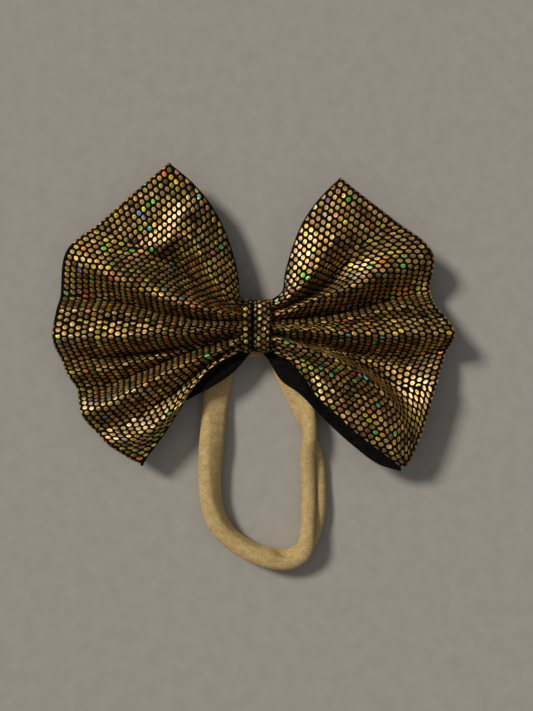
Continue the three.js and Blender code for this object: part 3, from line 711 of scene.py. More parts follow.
class Lobe:
    """The pleated surface of one lobe, with the fabric's own coordinates on it."""

    def __init__(self, side, folds, lap, swells, seed):
        self.side = side
        longest = max(run_length(curve_through(f))[-1] for f in folds)
        self.u = np.arange(0, longest + 1.5, ROW_STEP)
        crisp = 0.15 + 0.7 * smooth(self.u, 8, 42)
        lines = fold_lines(folds, side, self.u)
        self.top = pleated(lines, crisp)
        self.rise = wrinkles(self.top, self.u, seed) + swelling(self.top, swells)
        self.top[..., 2] += self.rise
        back_lines = fold_lines([*folds, lap], side, self.u)
        tuck = (0.18 * smooth(self.u, 1, 6))[:, None]
        back_lines[:, 0, :2] += tuck * (back_lines[:, 1, :2] - back_lines[:, 0, :2])
        # The backing hangs lower between the rim and the knot, and is drawn up over the headband.
        deep = smooth(self.u, 6, 30) * (1 - 0.95 * smooth(self.u, 30, 44))
        for k in range(len(folds)):
            extra = 2.4 if k % 2 == 1 else 0.9
            back_lines[:, k, 2] -= 2 * RIM_ROLL + 0.5 * smooth(self.u, 0, 8) + extra * deep
        self.back = pleated(back_lines, crisp * 0.6)
        shared = self.top.shape[1]
        self.back[:, :shared, 2] += self.rise * 0.7
        self.back[..., 2] = np.maximum(self.back[..., 2], 0.15)
        self.out = self.outward()

    def outward(self):
        """Level direction out of the rim at each column."""
        rim = self.back[0]
        along = np.gradient(rim, axis=0)[:, :2]
        out = unit(np.column_stack([along[:, 1], -along[:, 0]]) * self.side)
        centre = rim[:, :2] - self.back[8, :, :2]
        turned = np.sign((out * centre).sum(1))[:, None]
        return np.column_stack([out * turned, np.zeros(len(out))])

    def seam_at(self):
        """Where the front ends at each column: how far in from the rim's top, or round the roll."""
        c = np.arange(self.top.shape[1]) / SPLITS
        seam = np.full(len(c), -SEAM_UNDER)
        if self.side < 0:
            seam += (0.1 + SEAM_UNDER) * smooth(c, 2.7, 3.2) * (1 - smooth(c, 4.6, 6.2))
        return seam

    def rolled(self, column, p):
        """Outer and inner point of the front at a column, p in from the rim's top or round it."""
        top = self.top[:, column]
        inside = max(p, 0.0)
        outer = np.array([np.interp(inside, self.u, top[:, a]) for a in range(3)])
        thick = RIM_THICK + (FRONT_THICK - RIM_THICK) * float(smooth(p, 0, 2.5))
        if p >= 0:
            return outer, outer - thick * UP
        angle = -p / RIM_ROLL
        radius = RIM_ROLL * (1 + 0.03 * math.sin(self.pucker[column])) - 0.1 * float(bump(angle, 1.5, 0.5))
        centre = outer - RIM_ROLL * UP
        spoke = math.sin(angle) * self.out[column] + math.cos(angle) * UP
        return centre + radius * spoke, centre + (RIM_ROLL - thick) * spoke

    def front_grids(self):
        """Outer and inner grids of the front, and their place on the flat fabric."""
        columns = self.top.shape[1]
        seam = self.seam_at()
        self.pucker = 2 * math.pi * run_length(self.top[0]) / STITCH
        joined = 3.0
        steps = 12
        deep = self.u[self.u > joined + 0.1]
        outer = np.zeros((steps + 1 + len(deep), columns, 3))
        inner = np.zeros_like(outer)
        place = np.zeros((len(outer), columns))
        for c in range(columns):
            p = np.concatenate([np.linspace(seam[c], joined, steps + 1), deep])
            place[:, c] = p
            for r, value in enumerate(p):
                outer[r, c], inner[r, c] = self.rolled(c, value)
        uv = np.stack([place, np.tile(run_length(self.top[0]), (len(place), 1))], axis=2)
        return outer, inner, uv * MM

    def back_grids(self):
        """Outer grid faces down, away from the front."""
        columns = self.back.shape[1]
        shared = self.top.shape[1]
        seam = np.full(columns, math.radians(88))
        seam[:shared] = -self.seam_at() / RIM_ROLL + math.radians(3)
        lap = smooth(np.arange(columns), shared - 1, shared + 4)
        radius = RIM_ROLL + (BACK_THICK / 2 - RIM_ROLL) * lap
        thick = BACK_RIM_THICK + (BACK_THICK - BACK_RIM_THICK) * lap
        over = 4  # rows that the backing takes on top of the rim, where it shows there
        turns = 10  # rows that go round the rim
        rows = over + turns + 1 + len(self.u) - 1
        outer = np.zeros((rows, columns, 3))
        inner = np.zeros_like(outer)
        place = np.zeros((rows, columns))
        for c in range(columns):
            centre = self.back[0, c] + radius[c] * UP
            start = max(seam[c], 0.0)
            beyond = max(-seam[c] * RIM_ROLL, 0.0)
            core = radius[c] - thick[c]
            angles = np.linspace(start, math.pi, turns + 1)
            for r in range(over):
                p = beyond * (1 - r / over)
                level = np.array([np.interp(p, self.u, self.top[:, min(c, shared - 1), a]) for a in range(3)])
                spoke = math.sin(start) * self.out[c] + math.cos(start) * UP
                rolled = centre + radius[c] * spoke
                step = 0.02 * (over - r)
                outer[r, c] = level - 0.05 * UP if beyond > 0 else rolled - 0.02 * step * spoke
                inner[r, c] = outer[r, c] - thick[c] * (UP if beyond > 0 else spoke)
                place[r, c] = -p - 4
            for k, angle in enumerate(angles):
                r = over + k
                outer[r, c] = centre + radius[c] * (math.sin(angle) * self.out[c] + math.cos(angle) * UP)
                inner[r, c] = centre + abs(core) * math.sin(angle) * self.out[c] + core * math.cos(angle) * UP
                place[r, c] = -4 + k * 0.4
            below = self.back[1:, c]
            outer[over + turns + 1:, c] = below
            grown = thick[c] + (BACK_THICK - thick[c]) * smooth(self.u[1:], 0, 3)
            inner[over + turns + 1:, c] = below + grown[:, None] * UP
            place[over + turns + 1:, c] = self.u[1:]
        uv = np.stack([place, np.tile(run_length(self.back[0]), (rows, 1))], axis=2)
        return outer, inner, uv * MM


def round_edges(outer, inner, uv):
    """Adds columns on both sides that round the sheet's edges off."""
    made = []
    middle = (outer + inner) / 2
    half = (outer - inner) / 2
    size = np.linalg.norm(half, axis=2, keepdims=True)
    for edge, beside in ((0, 1), (-1, -2)):
        out = outer[:, edge] - outer[:, beside]
        out[:, 2] = 0
        kernel = np.ones(7) / 7
        for a in range(2):
            out[:, a] = np.convolve(np.pad(out[:, a], 3, mode="edge"), kernel, mode="valid")
        out = unit(out, 1e-12)
        ring = []
        for degrees in (30, 60, 90):
            angle = math.radians(degrees)
            tip = middle[:, edge] + size[:, edge] * math.sin(angle) * out
            ring.append((tip + half[:, edge] * math.cos(angle), tip - half[:, edge] * math.cos(angle)))
        made.append(ring)
    before, after = made[0][::-1], made[1]
    outer = np.stack([r[0] for r in before] + list(outer.transpose(1, 0, 2)) + [r[0] for r in after], axis=1)
    inner = np.stack([r[1] for r in before] + list(inner.transpose(1, 0, 2)) + [r[1] for r in after], axis=1)
    uv = np.concatenate([np.repeat(uv[:, :1], 3, axis=1), uv, np.repeat(uv[:, -1:], 3, axis=1)], axis=1)
    return outer, inner, uv


def weld(piece):
    """Joins points that lie on each other, and turns every face outward."""
    work = bmesh.new()
    work.from_mesh(piece.data)
    bmesh.ops.remove_doubles(work, verts=work.verts, dist=2e-6)
    bmesh.ops.dissolve_degenerate(work, edges=work.edges, dist=1e-7)
    bmesh.ops.recalc_face_normals(work, faces=work.faces)
    work.to_mesh(piece.data)
    work.free()
    piece.data.polygons.foreach_set("use_smooth", [True] * len(piece.data.polygons))


# ---- foil dots ---------------------------------------------------------------------------------
DOT_SIDES = 12
# Radius as a share of the dot's, height above the fabric, and how light the foil is there.
DOT_RINGS = [(0.46, 0.060, 1.0), (0.86, 0.072, 1.0), (1.0, 0.05, 0.75), (1.02, -0.08, 0.3)]
DOT_MIDDLE = (0.045, 0.42)  # height and lightness at a dot's middle
DOT_ANGLES = circle(DOT_SIDES)
COLUMN_START = 0.75  # the first column in from the rim; one more goes round the rim
EDGE_GAP = 0.62  # pitches left past an even column's last dot, at a lobe's top or bottom edge
COVERED = 3.2  # dots nearer the bow's middle line than this are under the wrap, and left out
SEAM_GAP = 0.35  # dots nearer the seam than this are left out too
LIGHT_FROM = np.array([-0.58, 0.41, 0.70])
# Colours of the painted holographic glints on the dots, and how often each is picked.
FLASHES = np.array([
    (1.0, 0.70, 0.04), (0.92, 0.90, 0.05), (0.25, 0.90, 0.16), (0.20, 0.85, 0.70), (0.25, 0.50, 0.95),
    (1.0, 0.26, 0.04), (1.0, 0.42, 0.30), (0.55, 0.32, 0.85),
])
FLASH_ODDS = np.array([0.32, 0.20, 0.13, 0.08, 0.03, 0.14, 0.08, 0.02])


def dot_outline(random, count, radius=DOT_RADIUS):
    """Offsets (du, dv), heights and shades of every vertex of count dots, each a rounded hexagon."""
    hexagon = 1 + 0.045 * np.cos(6 * DOT_ANGLES)
    du, dv, high, shade = [np.zeros((count, 1))], [np.zeros((count, 1))], [], []
    high.append(np.full((count, 1), DOT_MIDDLE[0]))
    shade.append(np.full((count, 1), DOT_MIDDLE[1]))
    size = radius * random.uniform(0.95, 1.04, (count, 1))
    for share, height, light in DOT_RINGS:
        du.append(size * share * DOT_STRETCH * hexagon * np.cos(DOT_ANGLES))
        dv.append(size * share / DOT_STRETCH ** 0.5 * hexagon * np.sin(DOT_ANGLES))
        high.append(np.full((count, DOT_SIDES), height))
        shade.append(np.full((count, DOT_SIDES), light))
    du, dv = np.concatenate(du, axis=1), np.concatenate(dv, axis=1)
    high, shade = np.concatenate(high, axis=1), np.concatenate(shade, axis=1)
    lean = random.normal(0, 0.07, (count, 2))
    high = high + lean[:, :1] * du + lean[:, 1:] * dv
    high = high + 0.06 * np.abs(lean).sum(1, keepdims=True)
    return du, dv, high, shade


def dot_faces(count):
    """Faces of count closed dots, numbered as dot_outline numbers their points."""
    rings = len(DOT_RINGS)
    one = []
    for k in range(DOT_SIDES):
        n = (k + 1) % DOT_SIDES
        one.append([0, 1 + k, 1 + n])
        for r in range(rings - 1):
            a = 1 + r * DOT_SIDES
            b = a + DOT_SIDES
            one.append([a + k, b + k, b + n, a + n])
    one.append([1 + (rings - 1) * DOT_SIDES + k for k in range(DOT_SIDES)][::-1])
    each = 1 + rings * DOT_SIDES
    return [[i + d * each for i in face] for d in range(count) for face in one]


def dot_colours(random, normals, shade, calm=1.0):
    """Gold for most dots, with painted light: pinker, brighter painted highlights where a dot faces the
    light, painted holographic flashes most often where it is turned part of the way to the light, and a
    painted lit side across each dot.
    """
    count = len(normals)
    gold = np.array([0.84, 0.52, 0.165])
    highlight_pink = np.array([1.0, 0.68, 0.40])
    green = np.array([0.56, 0.46, 0.12])
    facing = normals @ LIGHT_FROM
    colour = gold * (0.25 + 0.85 * random.random((count, 1)) ** 0.8)
    # Painted highlight: dots that face the light are painted pinker, and then brighter.
    painted_highlight = smooth(facing, 0.78, 0.97)[:, None] * random.uniform(0.2, 1, (count, 1))
    colour = colour * (1 - painted_highlight) + highlight_pink * random.uniform(0.8, 1.15, (count, 1)) * painted_highlight
    colour = colour * (1 + 0.45 * smooth(facing, 0.86, 0.985)[:, None])
    dull = (random.random((count, 1)) < 0.18) * random.uniform(0.3, 0.9, (count, 1))
    colour = colour * (1 - dull) + green * dull
    # Painted glints: a flash is more likely where the dot is turned part of the way to the light.
    odds = calm * (0.07 + 0.17 * bump(facing, 0.62, 0.30))
    flash = random.random(count) < odds
    picked = FLASHES[random.choice(len(FLASHES), count, p=FLASH_ODDS / FLASH_ODDS.sum())]
    strength = random.uniform(0.35, 1, (count, 1))
    colour = np.where(flash[:, None], colour * (1 - strength) + picked * strength, colour)
    # Painted light across each dot: lighter on the side towards the light, darker on the other.
    lit_side = random.normal(2.4, 1.1, (count, 1))
    angle = np.concatenate([np.zeros(1)] + [DOT_ANGLES] * len(DOT_RINGS))
    reach = np.repeat([0.0] + [ring[0] for ring in DOT_RINGS], [1] + [DOT_SIDES] * len(DOT_RINGS))
    painted_side_light = random.uniform(0.1, 0.75, (count, 1)) * reach * np.cos(angle - lit_side)
    return np.clip(colour[:, None, :] * (shade * (1 + painted_side_light))[..., None], 0, 1)


def dots_piece(name, points, normals, high, colours):
    """All the dots of one fabric as one piece, with a colour at every point."""
    count, each, _ = points.shape
    raised = points + normals * high[..., None]
    piece = link_mesh(name, raised.reshape(-1, 3), dot_faces(count), [FOIL])
    layer = piece.data.color_attributes.new("dot_color", "FLOAT_COLOR", "POINT")
    rgba = np.concatenate([colours.reshape(-1, 3), np.ones((count * each, 1))], axis=1)
    layer.data.foreach_set("color", rgba.astype(np.float32).ravel())
    return piece


class DotMap:
    """Lays the lattice of dots on a lobe. Its columns follow the rim, and the ridges carry its rows."""

    def __init__(self, lobe):
        self.lobe = lobe
        top = lobe.top
        self.arc = np.array([run_length(row) for row in top])
        normals = grid_normals(top)
        normals *= np.sign(normals[..., 2:3] + 1e-9)
        rows, columns, _ = top.shape
        out = np.tile(lobe.out[:columns], (rows, 1, 1))
        seam = np.tile(lobe.seam_at()[None, :, None], (rows, 1, 1))
        self.table = np.concatenate([top, normals, out, seam], axis=2)
        last = (columns - 1) // SPLITS
        self.ridges = list(range(1, last + 1, 2))
        folds = self.arc[:, ::SPLITS]
        self.before = [folds[:, k] - folds[:, k - 1] for k in self.ridges]
        self.after = [folds[:, min(k + 1, last)] - folds[:, k] for k in self.ridges]

    def by_row(self, values, u):
        """A value given for each row, at distance u from the rim."""
        return np.interp(np.maximum(u, 0), self.lobe.u, values)

    def column_of_dots(self, u, odd):
        """Where a column's dots lie: the ridge that holds each one, how far from it, and how
        closely they are packed there. Every ridge has a dot (or, in odd columns, a gap) on it, and
        the rows between two ridges close up or spread near the valley so that they fit."""
        half = 0.5 * odd
        places = []
        room = self.by_row(self.before[0], u)
        count = max(1, round(room / DOT_PITCH - EDGE_GAP))
        pitch = room / (count + EDGE_GAP)
        for k in range(1 - odd, count + 1):
            places.append((0, -(k + half) * pitch, pitch / DOT_PITCH))
        for a in range(len(self.ridges) - 1):
            ahead = self.by_row(self.after[a], u)
            room = ahead + self.by_row(self.before[a + 1], u)
            count = max(1, int(room / DOT_PITCH + 0.42))
            spare = room - count * DOT_PITCH
            for k in range(count):
                share = (k + half) / count
                along = (k + half) * DOT_PITCH + spare * float(smooth(share))
                packed = 1 + spare / (count * DOT_PITCH) * 6 * share * (1 - share)
                if along <= ahead:
                    places.append((a, along, packed))
                else:
                    places.append((a + 1, along - room, packed))
        room = self.by_row(self.after[-1], u)
        count = max(0, round(room / DOT_PITCH - EDGE_GAP))
        pitch = room / (count + EDGE_GAP)
        for k in range(count + 1):
            if room > 0.1 or not odd:
                places.append((len(self.ridges) - 1, (k + half) * pitch, min(1.0, pitch / DOT_PITCH)))
        return places

    def look_up(self, u, chosen, away):
        """Table rows for points at distance u, held by a ridge, that far along the row."""
        inside = np.maximum(u, 0)
        step = self.lobe.u[1] - self.lobe.u[0]
        low = np.clip((inside / step).astype(int), 0, len(self.lobe.u) - 2)
        part = inside / step - low
        found = np.zeros((len(u), self.table.shape[2]))
        columns = np.array([k * SPLITS for k in self.ridges])
        for shift, weight in ((0, 1 - part), (1, part)):
            rows = low + shift
            for row in np.unique(rows):
                pick = np.nonzero(rows == row)[0]
                c = columns[chosen[pick]]
                limit_low = -np.array([b[row] for b in self.before])[chosen[pick]]
                limit_high = np.array([b[row] for b in self.after])[chosen[pick]]
                along = self.arc[row][c] + np.clip(away[pick], limit_low, limit_high)
                for a in range(found.shape[1]):
                    value = np.interp(along, self.arc[row], self.table[row, :, a])
                    found[pick, a] += weight[pick] * value
        return found

    def dots(self, name, seed):
        """Every dot of the lobe's front that shows."""
        random = np.random.default_rng(seed)
        places = []
        for i in range(-1, int(self.lobe.u[-1] / COLUMN_PITCH)):
            u = COLUMN_START + i * COLUMN_PITCH
            places.extend((u, *place) for place in self.column_of_dots(u, i % 2))
        u, chosen, away, packed = np.array(places).T
        chosen = chosen.astype(int)
        middle = self.look_up(u, chosen, away)
        showing = (np.abs(middle[:, 0]) > COVERED) & (u > middle[:, 9] + SEAM_GAP)
        u, chosen, away, middle = u[showing], chosen[showing], away[showing], middle[showing]
        packed = np.clip(packed[showing], 0.8, 1.1)
        du, dv, high, shade = dot_outline(random, len(u))
        dv = dv * packed[:, None]
        each = du.shape[1]
        all_u = (u[:, None] + du).ravel()
        all_away = (away[:, None] + dv).ravel()
        found = self.look_up(all_u, np.repeat(chosen, each), all_away)
        points, normals, out = found[:, :3], found[:, 3:6], found[:, 6:9]
        angle = np.maximum(-all_u, 0)[:, None] / RIM_ROLL
        points = points + RIM_ROLL * (np.sin(angle) * out - (1 - np.cos(angle)) * UP)
        normals = unit(normals * np.cos(angle) + out * np.sin(angle), 1e-12)
        shape = (len(u), each, 3)
        colours = dot_colours(random, unit(middle[:, 3:6], 1e-12), shade)
        return dots_piece(name, points.reshape(shape), normals.reshape(shape), high, colours)


# ---- the two lobes -----------------------------------------------------------------------------
LINING_ROWS = slice(5, -14)  # the rows of the front that the lining lies under
LINING_THICK = 0.3
SEAM_RADIUS = 0.14


def seam_thread(name, lobe):
    """The seam inside the rim, as one stitched line of thread."""
    rim = np.array([lobe.rolled(c, 1.2)[1] for c in range(lobe.top.shape[1])])
    inward = -lobe.out[: len(rim)]
    path = rim + inward * 0.6 + np.array([0, 0, -0.35])
    dense = np.linspace(0, len(path) - 1, 500)
    path = np.stack([np.interp(dense, np.arange(len(path)), path[:, a]) for a in range(3)], axis=1)
    path[:, 2] += 0.12 * np.sin(2 * math.pi * run_length(path) / STITCH)
    return round_tube(name, path, SEAM_RADIUS, 8, UP, [THREAD])


def build_lobe(word, lobe, seed):
    """One lobe's five pieces: front, dots, back, lining and rim seam."""
    outer, inner, uv = round_edges(*lobe.front_grids())
    front = closed_sheet(f"{word}_front_fabric", outer, inner, [KNIT], uv)
    weld(front)
    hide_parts(f"{word}_front_panel")
    dots = DotMap(lobe).dots(f"{word}_front_dots", seed)
    outer, inner, uv = round_edges(*lobe.back_grids())
    back = closed_sheet(f"{word}_back_fabric", outer, inner, [FELT], uv)
    weld(back)
    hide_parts(f"{word}_back_panel")
    above = lobe.top[LINING_ROWS, 1:-1] - (FRONT_THICK + 0.12) * UP
    lining = closed_sheet(f"{word}_lining", above, above - LINING_THICK * UP, [INTERLINING])
    weld(lining)
    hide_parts(f"{word}_stiffener")
    seam = seam_thread(f"{word}_seam_thread", lobe)
    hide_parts(f"{word}_rim_seam")
    for piece in (front, dots, back, lining, seam):
        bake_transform(piece)


left = Lobe(-1, LEFT_FOLDS, LEFT_LAP, LEFT_SWELLS, 3)
right = Lobe(1, RIGHT_FOLDS, RIGHT_LAP, RIGHT_SWELLS, 8)
build_lobe("left", left, 11)
build_lobe("right", right, 12)

# ---- knot --------------------------------------------------------------------------------------
WRAP_HALF = 4.35
WRAP_TOP = 8.5
WRAP_BOTTOM = -8.6
WRAP_LOW = 4.7
WRAP_HIGH = 15.0
WRAP_CORNER = 3.6
WRAP_THICK = 0.8
CREASE_AT = -0.85
CREASE_DEPTH = 1.35
CREASE_WIDTH = 0.95
SECOND_CREASE_AT = 2.35
SECOND_CREASE_DEPTH = 0.22
SECOND_CREASE_WIDTH = 0.5
WRAP_EDGE = 0.75  # how far in from its edges the wrap starts to turn down
WRAP_DOT = 0.67  # radius
CREASE_DOT_WIDTH = 0.72  # dots beside the crease, as shares of the others' width and lightness; the darker share is painted shade in the crease
CREASE_DOT_PAINTED_SHADE = 0.6
WRAP_DOT_PITCH = 2.05  # round the wrap
WRAP_COLUMN_PITCH = 1.58  # across it
# The wrap's columns of dots: the side each is counted from, and how far in from there.
WRAP_COLUMNS = [("left", 1.1), ("left", 1.1 + WRAP_COLUMN_PITCH)]
WRAP_COLUMNS += [("right", 0.6 + k * WRAP_COLUMN_PITCH) for k in range(4)]
TAIL_LOW, TAIL_HIGH = 3.7, 4.4
CORE_HALF = 6.6  # half the gathered middle's height up the bow
CORE_LOW, CORE_HIGH = WRAP_LOW + WRAP_THICK + 0.4, 12.6
PINCH = 0.17  # how much the thread draws the gathered middle in
THREAD_TURNS = 3
TURN_STEPS = 48
WOUND_RADIUS = 0.22
WOUND_SPACING = 0.62  # from one turn to the next
BAND_FLAT = 2.5  # thickness of the band where it is glued flat


def wrap_loop(count):
    """The wrap's outline in the YZ plane as (y, z, outward y, outward z), evenly spaced."""
    corners = [
        (WRAP_TOP - WRAP_CORNER, WRAP_HIGH - WRAP_CORNER, 0),
        (WRAP_BOTTOM + WRAP_CORNER, WRAP_HIGH - WRAP_CORNER, 90),
        (WRAP_BOTTOM + WRAP_CORNER, WRAP_LOW + WRAP_CORNER, 180),
        (WRAP_TOP - WRAP_CORNER, WRAP_LOW + WRAP_CORNER, 270),
    ]
    made = []
    for y, z, start in corners:
        for degrees in np.linspace(start, start + 90, 24):
            angle = math.radians(degrees)
            out = (math.cos(angle), math.sin(angle))
            made.append((y + WRAP_CORNER * out[0], z + WRAP_CORNER * out[1], *out))
    made.append(made[0])
    made = np.array(made)
    along = run_length(made[:, :2])
    even = np.linspace(0, along[-1], count + 1)[:-1]
    loop_points = np.stack([np.interp(even, along, made[:, a]) for a in range(4)], axis=1)
    return loop_points, even, along[-1]


def wrap_surface():
    """The wrap's outer and inner points, shape (round the loop, across, 3)."""
    outline, even, length = wrap_loop(150)
    # The columns of points are closer together across the crease.
    stretches = [(-WRAP_HALF, -2.2, 14), (-2.2, 0.6, 26), (0.6, WRAP_HALF, 20)]
    x = np.concatenate([*(np.linspace(*stretch)[:-1] for stretch in stretches), [WRAP_HALF]])
    outer = np.zeros((len(outline), len(x), 3))
    inner = np.zeros_like(outer)
    for k, (y, z, out_y, out_z) in enumerate(outline):
        front = float(smooth(z, 9.5, 13.5))
        crease_x = CREASE_AT + 0.22 * math.sin(y / 3.1) + 0.1 * math.sin(y * 1.3)
        crease = CREASE_DEPTH * front * np.exp(-((x - crease_x) / CREASE_WIDTH) ** 2)
        beyond = (x - SECOND_CREASE_AT - 0.2 * math.sin(y / 2.2)) / SECOND_CREASE_WIDTH
        second = SECOND_CREASE_DEPTH * front * np.exp(-beyond ** 2)
        edge = np.clip((np.abs(x) - (WRAP_HALF - WRAP_EDGE)) / WRAP_EDGE, 0, 1)
        turned = 0.62 * (1 - np.sqrt(1 - 0.98 * edge ** 2))
        ripple = 0.06 * np.sin(y * 2.1 + x * 0.9) + 0.05 * np.sin(y * 3.7 - x * 1.3)
        depth = crease + second + turned + ripple * (1 - edge)
        pull = 0.12 * math.sin(y / 2.4 + 0.6)
        outer[k, :, 0] = x + pull * np.abs(x) / WRAP_HALF * np.sign(x) * front - 0.1 * pull
        outer[k, :, 1] = y - depth * out_y
        outer[k, :, 2] = z - depth * out_z
        inner[k, :, 0] = outer[k, :, 0]
        inner[k, :, 1] = y - (depth * 0.9 + WRAP_THICK - turned * 0.8) * out_y
        inner[k, :, 2] = z - (depth * 0.9 + WRAP_THICK - turned * 0.8) * out_z
    return outer, inner, even, length


def build_wrap():
    """The strip round the knot, closed on itself."""
    outer, inner, even, length = wrap_surface()
    rows, columns, _ = outer.shape
    across = np.concatenate([outer, inner[:, ::-1]], axis=1)
    points = across.reshape(-1, 3)
    around = 2 * columns
    faces = []
    for r in range(rows):
        nxt = (r + 1) % rows
        for c in range(around):
            d = (c + 1) % around
            faces.append([r * around + c, r * around + d, nxt * around + d, nxt * around + c])
    piece = link_mesh("centre_wrap_fabric", points, faces, [KNIT])
    v = np.tile(even[:, None], (1, around))
    u = np.tile(np.arange(around)[None, :] * 0.15, (rows, 1))
    add_uv(piece, np.stack([u, v], axis=2).reshape(-1, 2) * MM)
    make_outward(piece)
    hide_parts("centre_wrap")
    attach(piece, "knot")
    return piece, outer, length


def look_up_strip(table, arc, round_step, s, a):
    """Rows of a table on a strip that closes on itself, at s round it and a across it."""
    rows = len(table)
    low = np.floor(s / round_step).astype(int)
    part = s / round_step - low
    found = np.zeros((len(s), table.shape[2]))
    for shift, weight in ((0, 1 - part), (1, part)):
        index = (low + shift) % rows
        for row in np.unique(index):
            pick = np.nonzero(index == row)[0]
            for channel in range(table.shape[2]):
                value = np.interp(a[pick], arc[row], table[row, :, channel])
                found[pick, channel] += weight[pick] * value
    return found


def wrap_dots(outer, length):
    """The wrap's dots, in columns round it. Those beside the crease are narrower, and darkened as painted
    shade.
    """
    random = np.random.default_rng(21)
    closed = np.concatenate([outer[-1:], outer, outer[:1]])
    normals = grid_normals(closed)[1:-1]
    centre = np.array([0, (WRAP_TOP + WRAP_BOTTOM) / 2, (WRAP_LOW + WRAP_HIGH) / 2])
    side = ((outer - centre) * normals * np.array([0, 1, 1])).sum(2)
    normals = normals * np.sign(side.mean())
    table = np.concatenate([outer, normals], axis=2)
    arc = np.array([run_length(row) for row in outer])
    widest = arc[:, -1].max()
    count = int(length / WRAP_DOT_PITCH)
    pitch = length / count
    places = []
    for side_word, offset in WRAP_COLUMNS:
        number = round((offset if side_word == "left" else widest - offset) / WRAP_COLUMN_PITCH)
        for k in range(count):
            places.append((side_word == "left", offset, (k + 0.5 * (number % 2)) * pitch))
    du, dv, high, shade = dot_outline(random, len(places), WRAP_DOT)
    from_left, offset, s = (np.array(values) for values in zip(*places))
    by_crease = np.where(from_left, offset > 2, offset > 5)
    du = du * np.where(by_crease, CREASE_DOT_WIDTH, 1.0)[:, None]
    offset = offset + random.normal(0, 0.06, len(places))
    s = s + random.normal(0, 0.08, len(places))
    full = np.interp(s / length * len(outer), np.arange(len(outer)), arc[:, -1])
    a = np.where(from_left, offset, full - offset)
    fits = (a > 0.15) & (a < full - 0.15)
    s, a, du, dv, high, shade = s[fits], a[fits], du[fits], dv[fits], high[fits], shade[fits]
    each = du.shape[1]
    step = length / len(outer)
    found = look_up_strip(table, arc, step, (s[:, None] + dv).ravel(), (a[:, None] + du).ravel())
    middle = look_up_strip(table, arc, step, s, a)
    shape = (len(s), each, 3)
    normal = unit(found[:, 3:])
    # Painted shade: dots beside the crease are darkened, on top of a random tone for every dot.
    light = np.where(by_crease[fits], CREASE_DOT_PAINTED_SHADE, 1.0)[:, None, None]
    crease_shade_and_random_tone = random.uniform(0.4, 1.0, (len(s), 1, 1)) * light
    colours = dot_colours(random, unit(middle[:, 3:]), shade, 0.35) * crease_shade_and_random_tone
    piece = dots_piece("centre_wrap_dots", found[:, :3].reshape(shape), normal.reshape(shape), high, colours)
    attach(piece, "knot")
    return piece


def soft_slab(name, outline, low, high, materials, flatness=0.5):
    """A pad with a rounded edge: its outline, drawn in a little above and below."""
    middle = outline.mean(axis=0)
    stack = []
    for share in np.linspace(0, 1, 9):
        tilt = math.pi * (share - 0.5)
        inset = flatness * (high - low) * (1 - math.cos(tilt))
        away = outline - middle
        reach = np.linalg.norm(away, axis=1, keepdims=True)
        ring = middle + away * (reach - inset) / reach
        z = (low + high) / 2 + (high - low) / 2 * math.sin(tilt)
        stack.append(np.column_stack([ring, np.full(len(outline), z)]))
    return tube(name, np.array(stack), materials)


def rounded_rectangle(left, right, bottom, top, power):
    """An outline of 96 points, with squarer corners for a lower power."""
    angle = circle(96)
    x = (left + right) / 2 + (right - left) / 2 * squared(np.cos(angle), power)
    y = (bottom + top) / 2 + (top - bottom) / 2 * squared(np.sin(angle), power)
    return np.column_stack([x, y])


def build_tail():
    """The wrap's other end, lapped over it behind the knot, with its own dots."""
    outline = rounded_rectangle(-4.1, 4.1, -5.5, 5.0, 0.16)
    tail = soft_slab("wrap_tail_fabric", outline, TAIL_LOW, TAIL_HIGH, [KNIT])
    add_uv(tail, np.array([v.co[:2] for v in tail.data.vertices]))
    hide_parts("wrap_tail")
    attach(tail, "knot")
    random = np.random.default_rng(5)
    places = []
    for column in range(4):
        for row in range(5):
            x = -3.15 + column * 2.1
            y = -4.6 + (row + 0.5 * (column % 2)) * DOT_PITCH
            if y < 4.4:
                places.append((x, y))
    places = np.array(places)
    du, dv, heights, shade = dot_outline(random, len(places))
    points = np.stack([places[:, :1] + du, places[:, 1:] + dv, np.full_like(du, TAIL_LOW)], axis=2)
    colours = dot_colours(random, np.tile(-UP, (len(places), 1)), shade)
    dots = dots_piece("wrap_tail_dots", points, np.broadcast_to(-UP, points.shape), heights, colours)
    make_outward(dots)
    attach(dots, "knot")
    return tail, dots


def build_glue():
    """The set glue between the wrap and the band, with an uneven edge."""
    blob = rounded_rectangle(-3.6, 2.2, -8.0, 0.4, 0.6)
    angle = circle(len(blob))
    ripple = 1 + 0.06 * np.sin(3 * angle + 1) + 0.04 * np.sin(7 * angle)
    middle = np.array([-0.7, -3.8])
    glue = soft_slab("glue_bead", middle + (blob - middle) * ripple[:, None], 2.85, 3.5, [GLUE], 0.6)
    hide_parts("glue_patch")
    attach(glue, "knot")


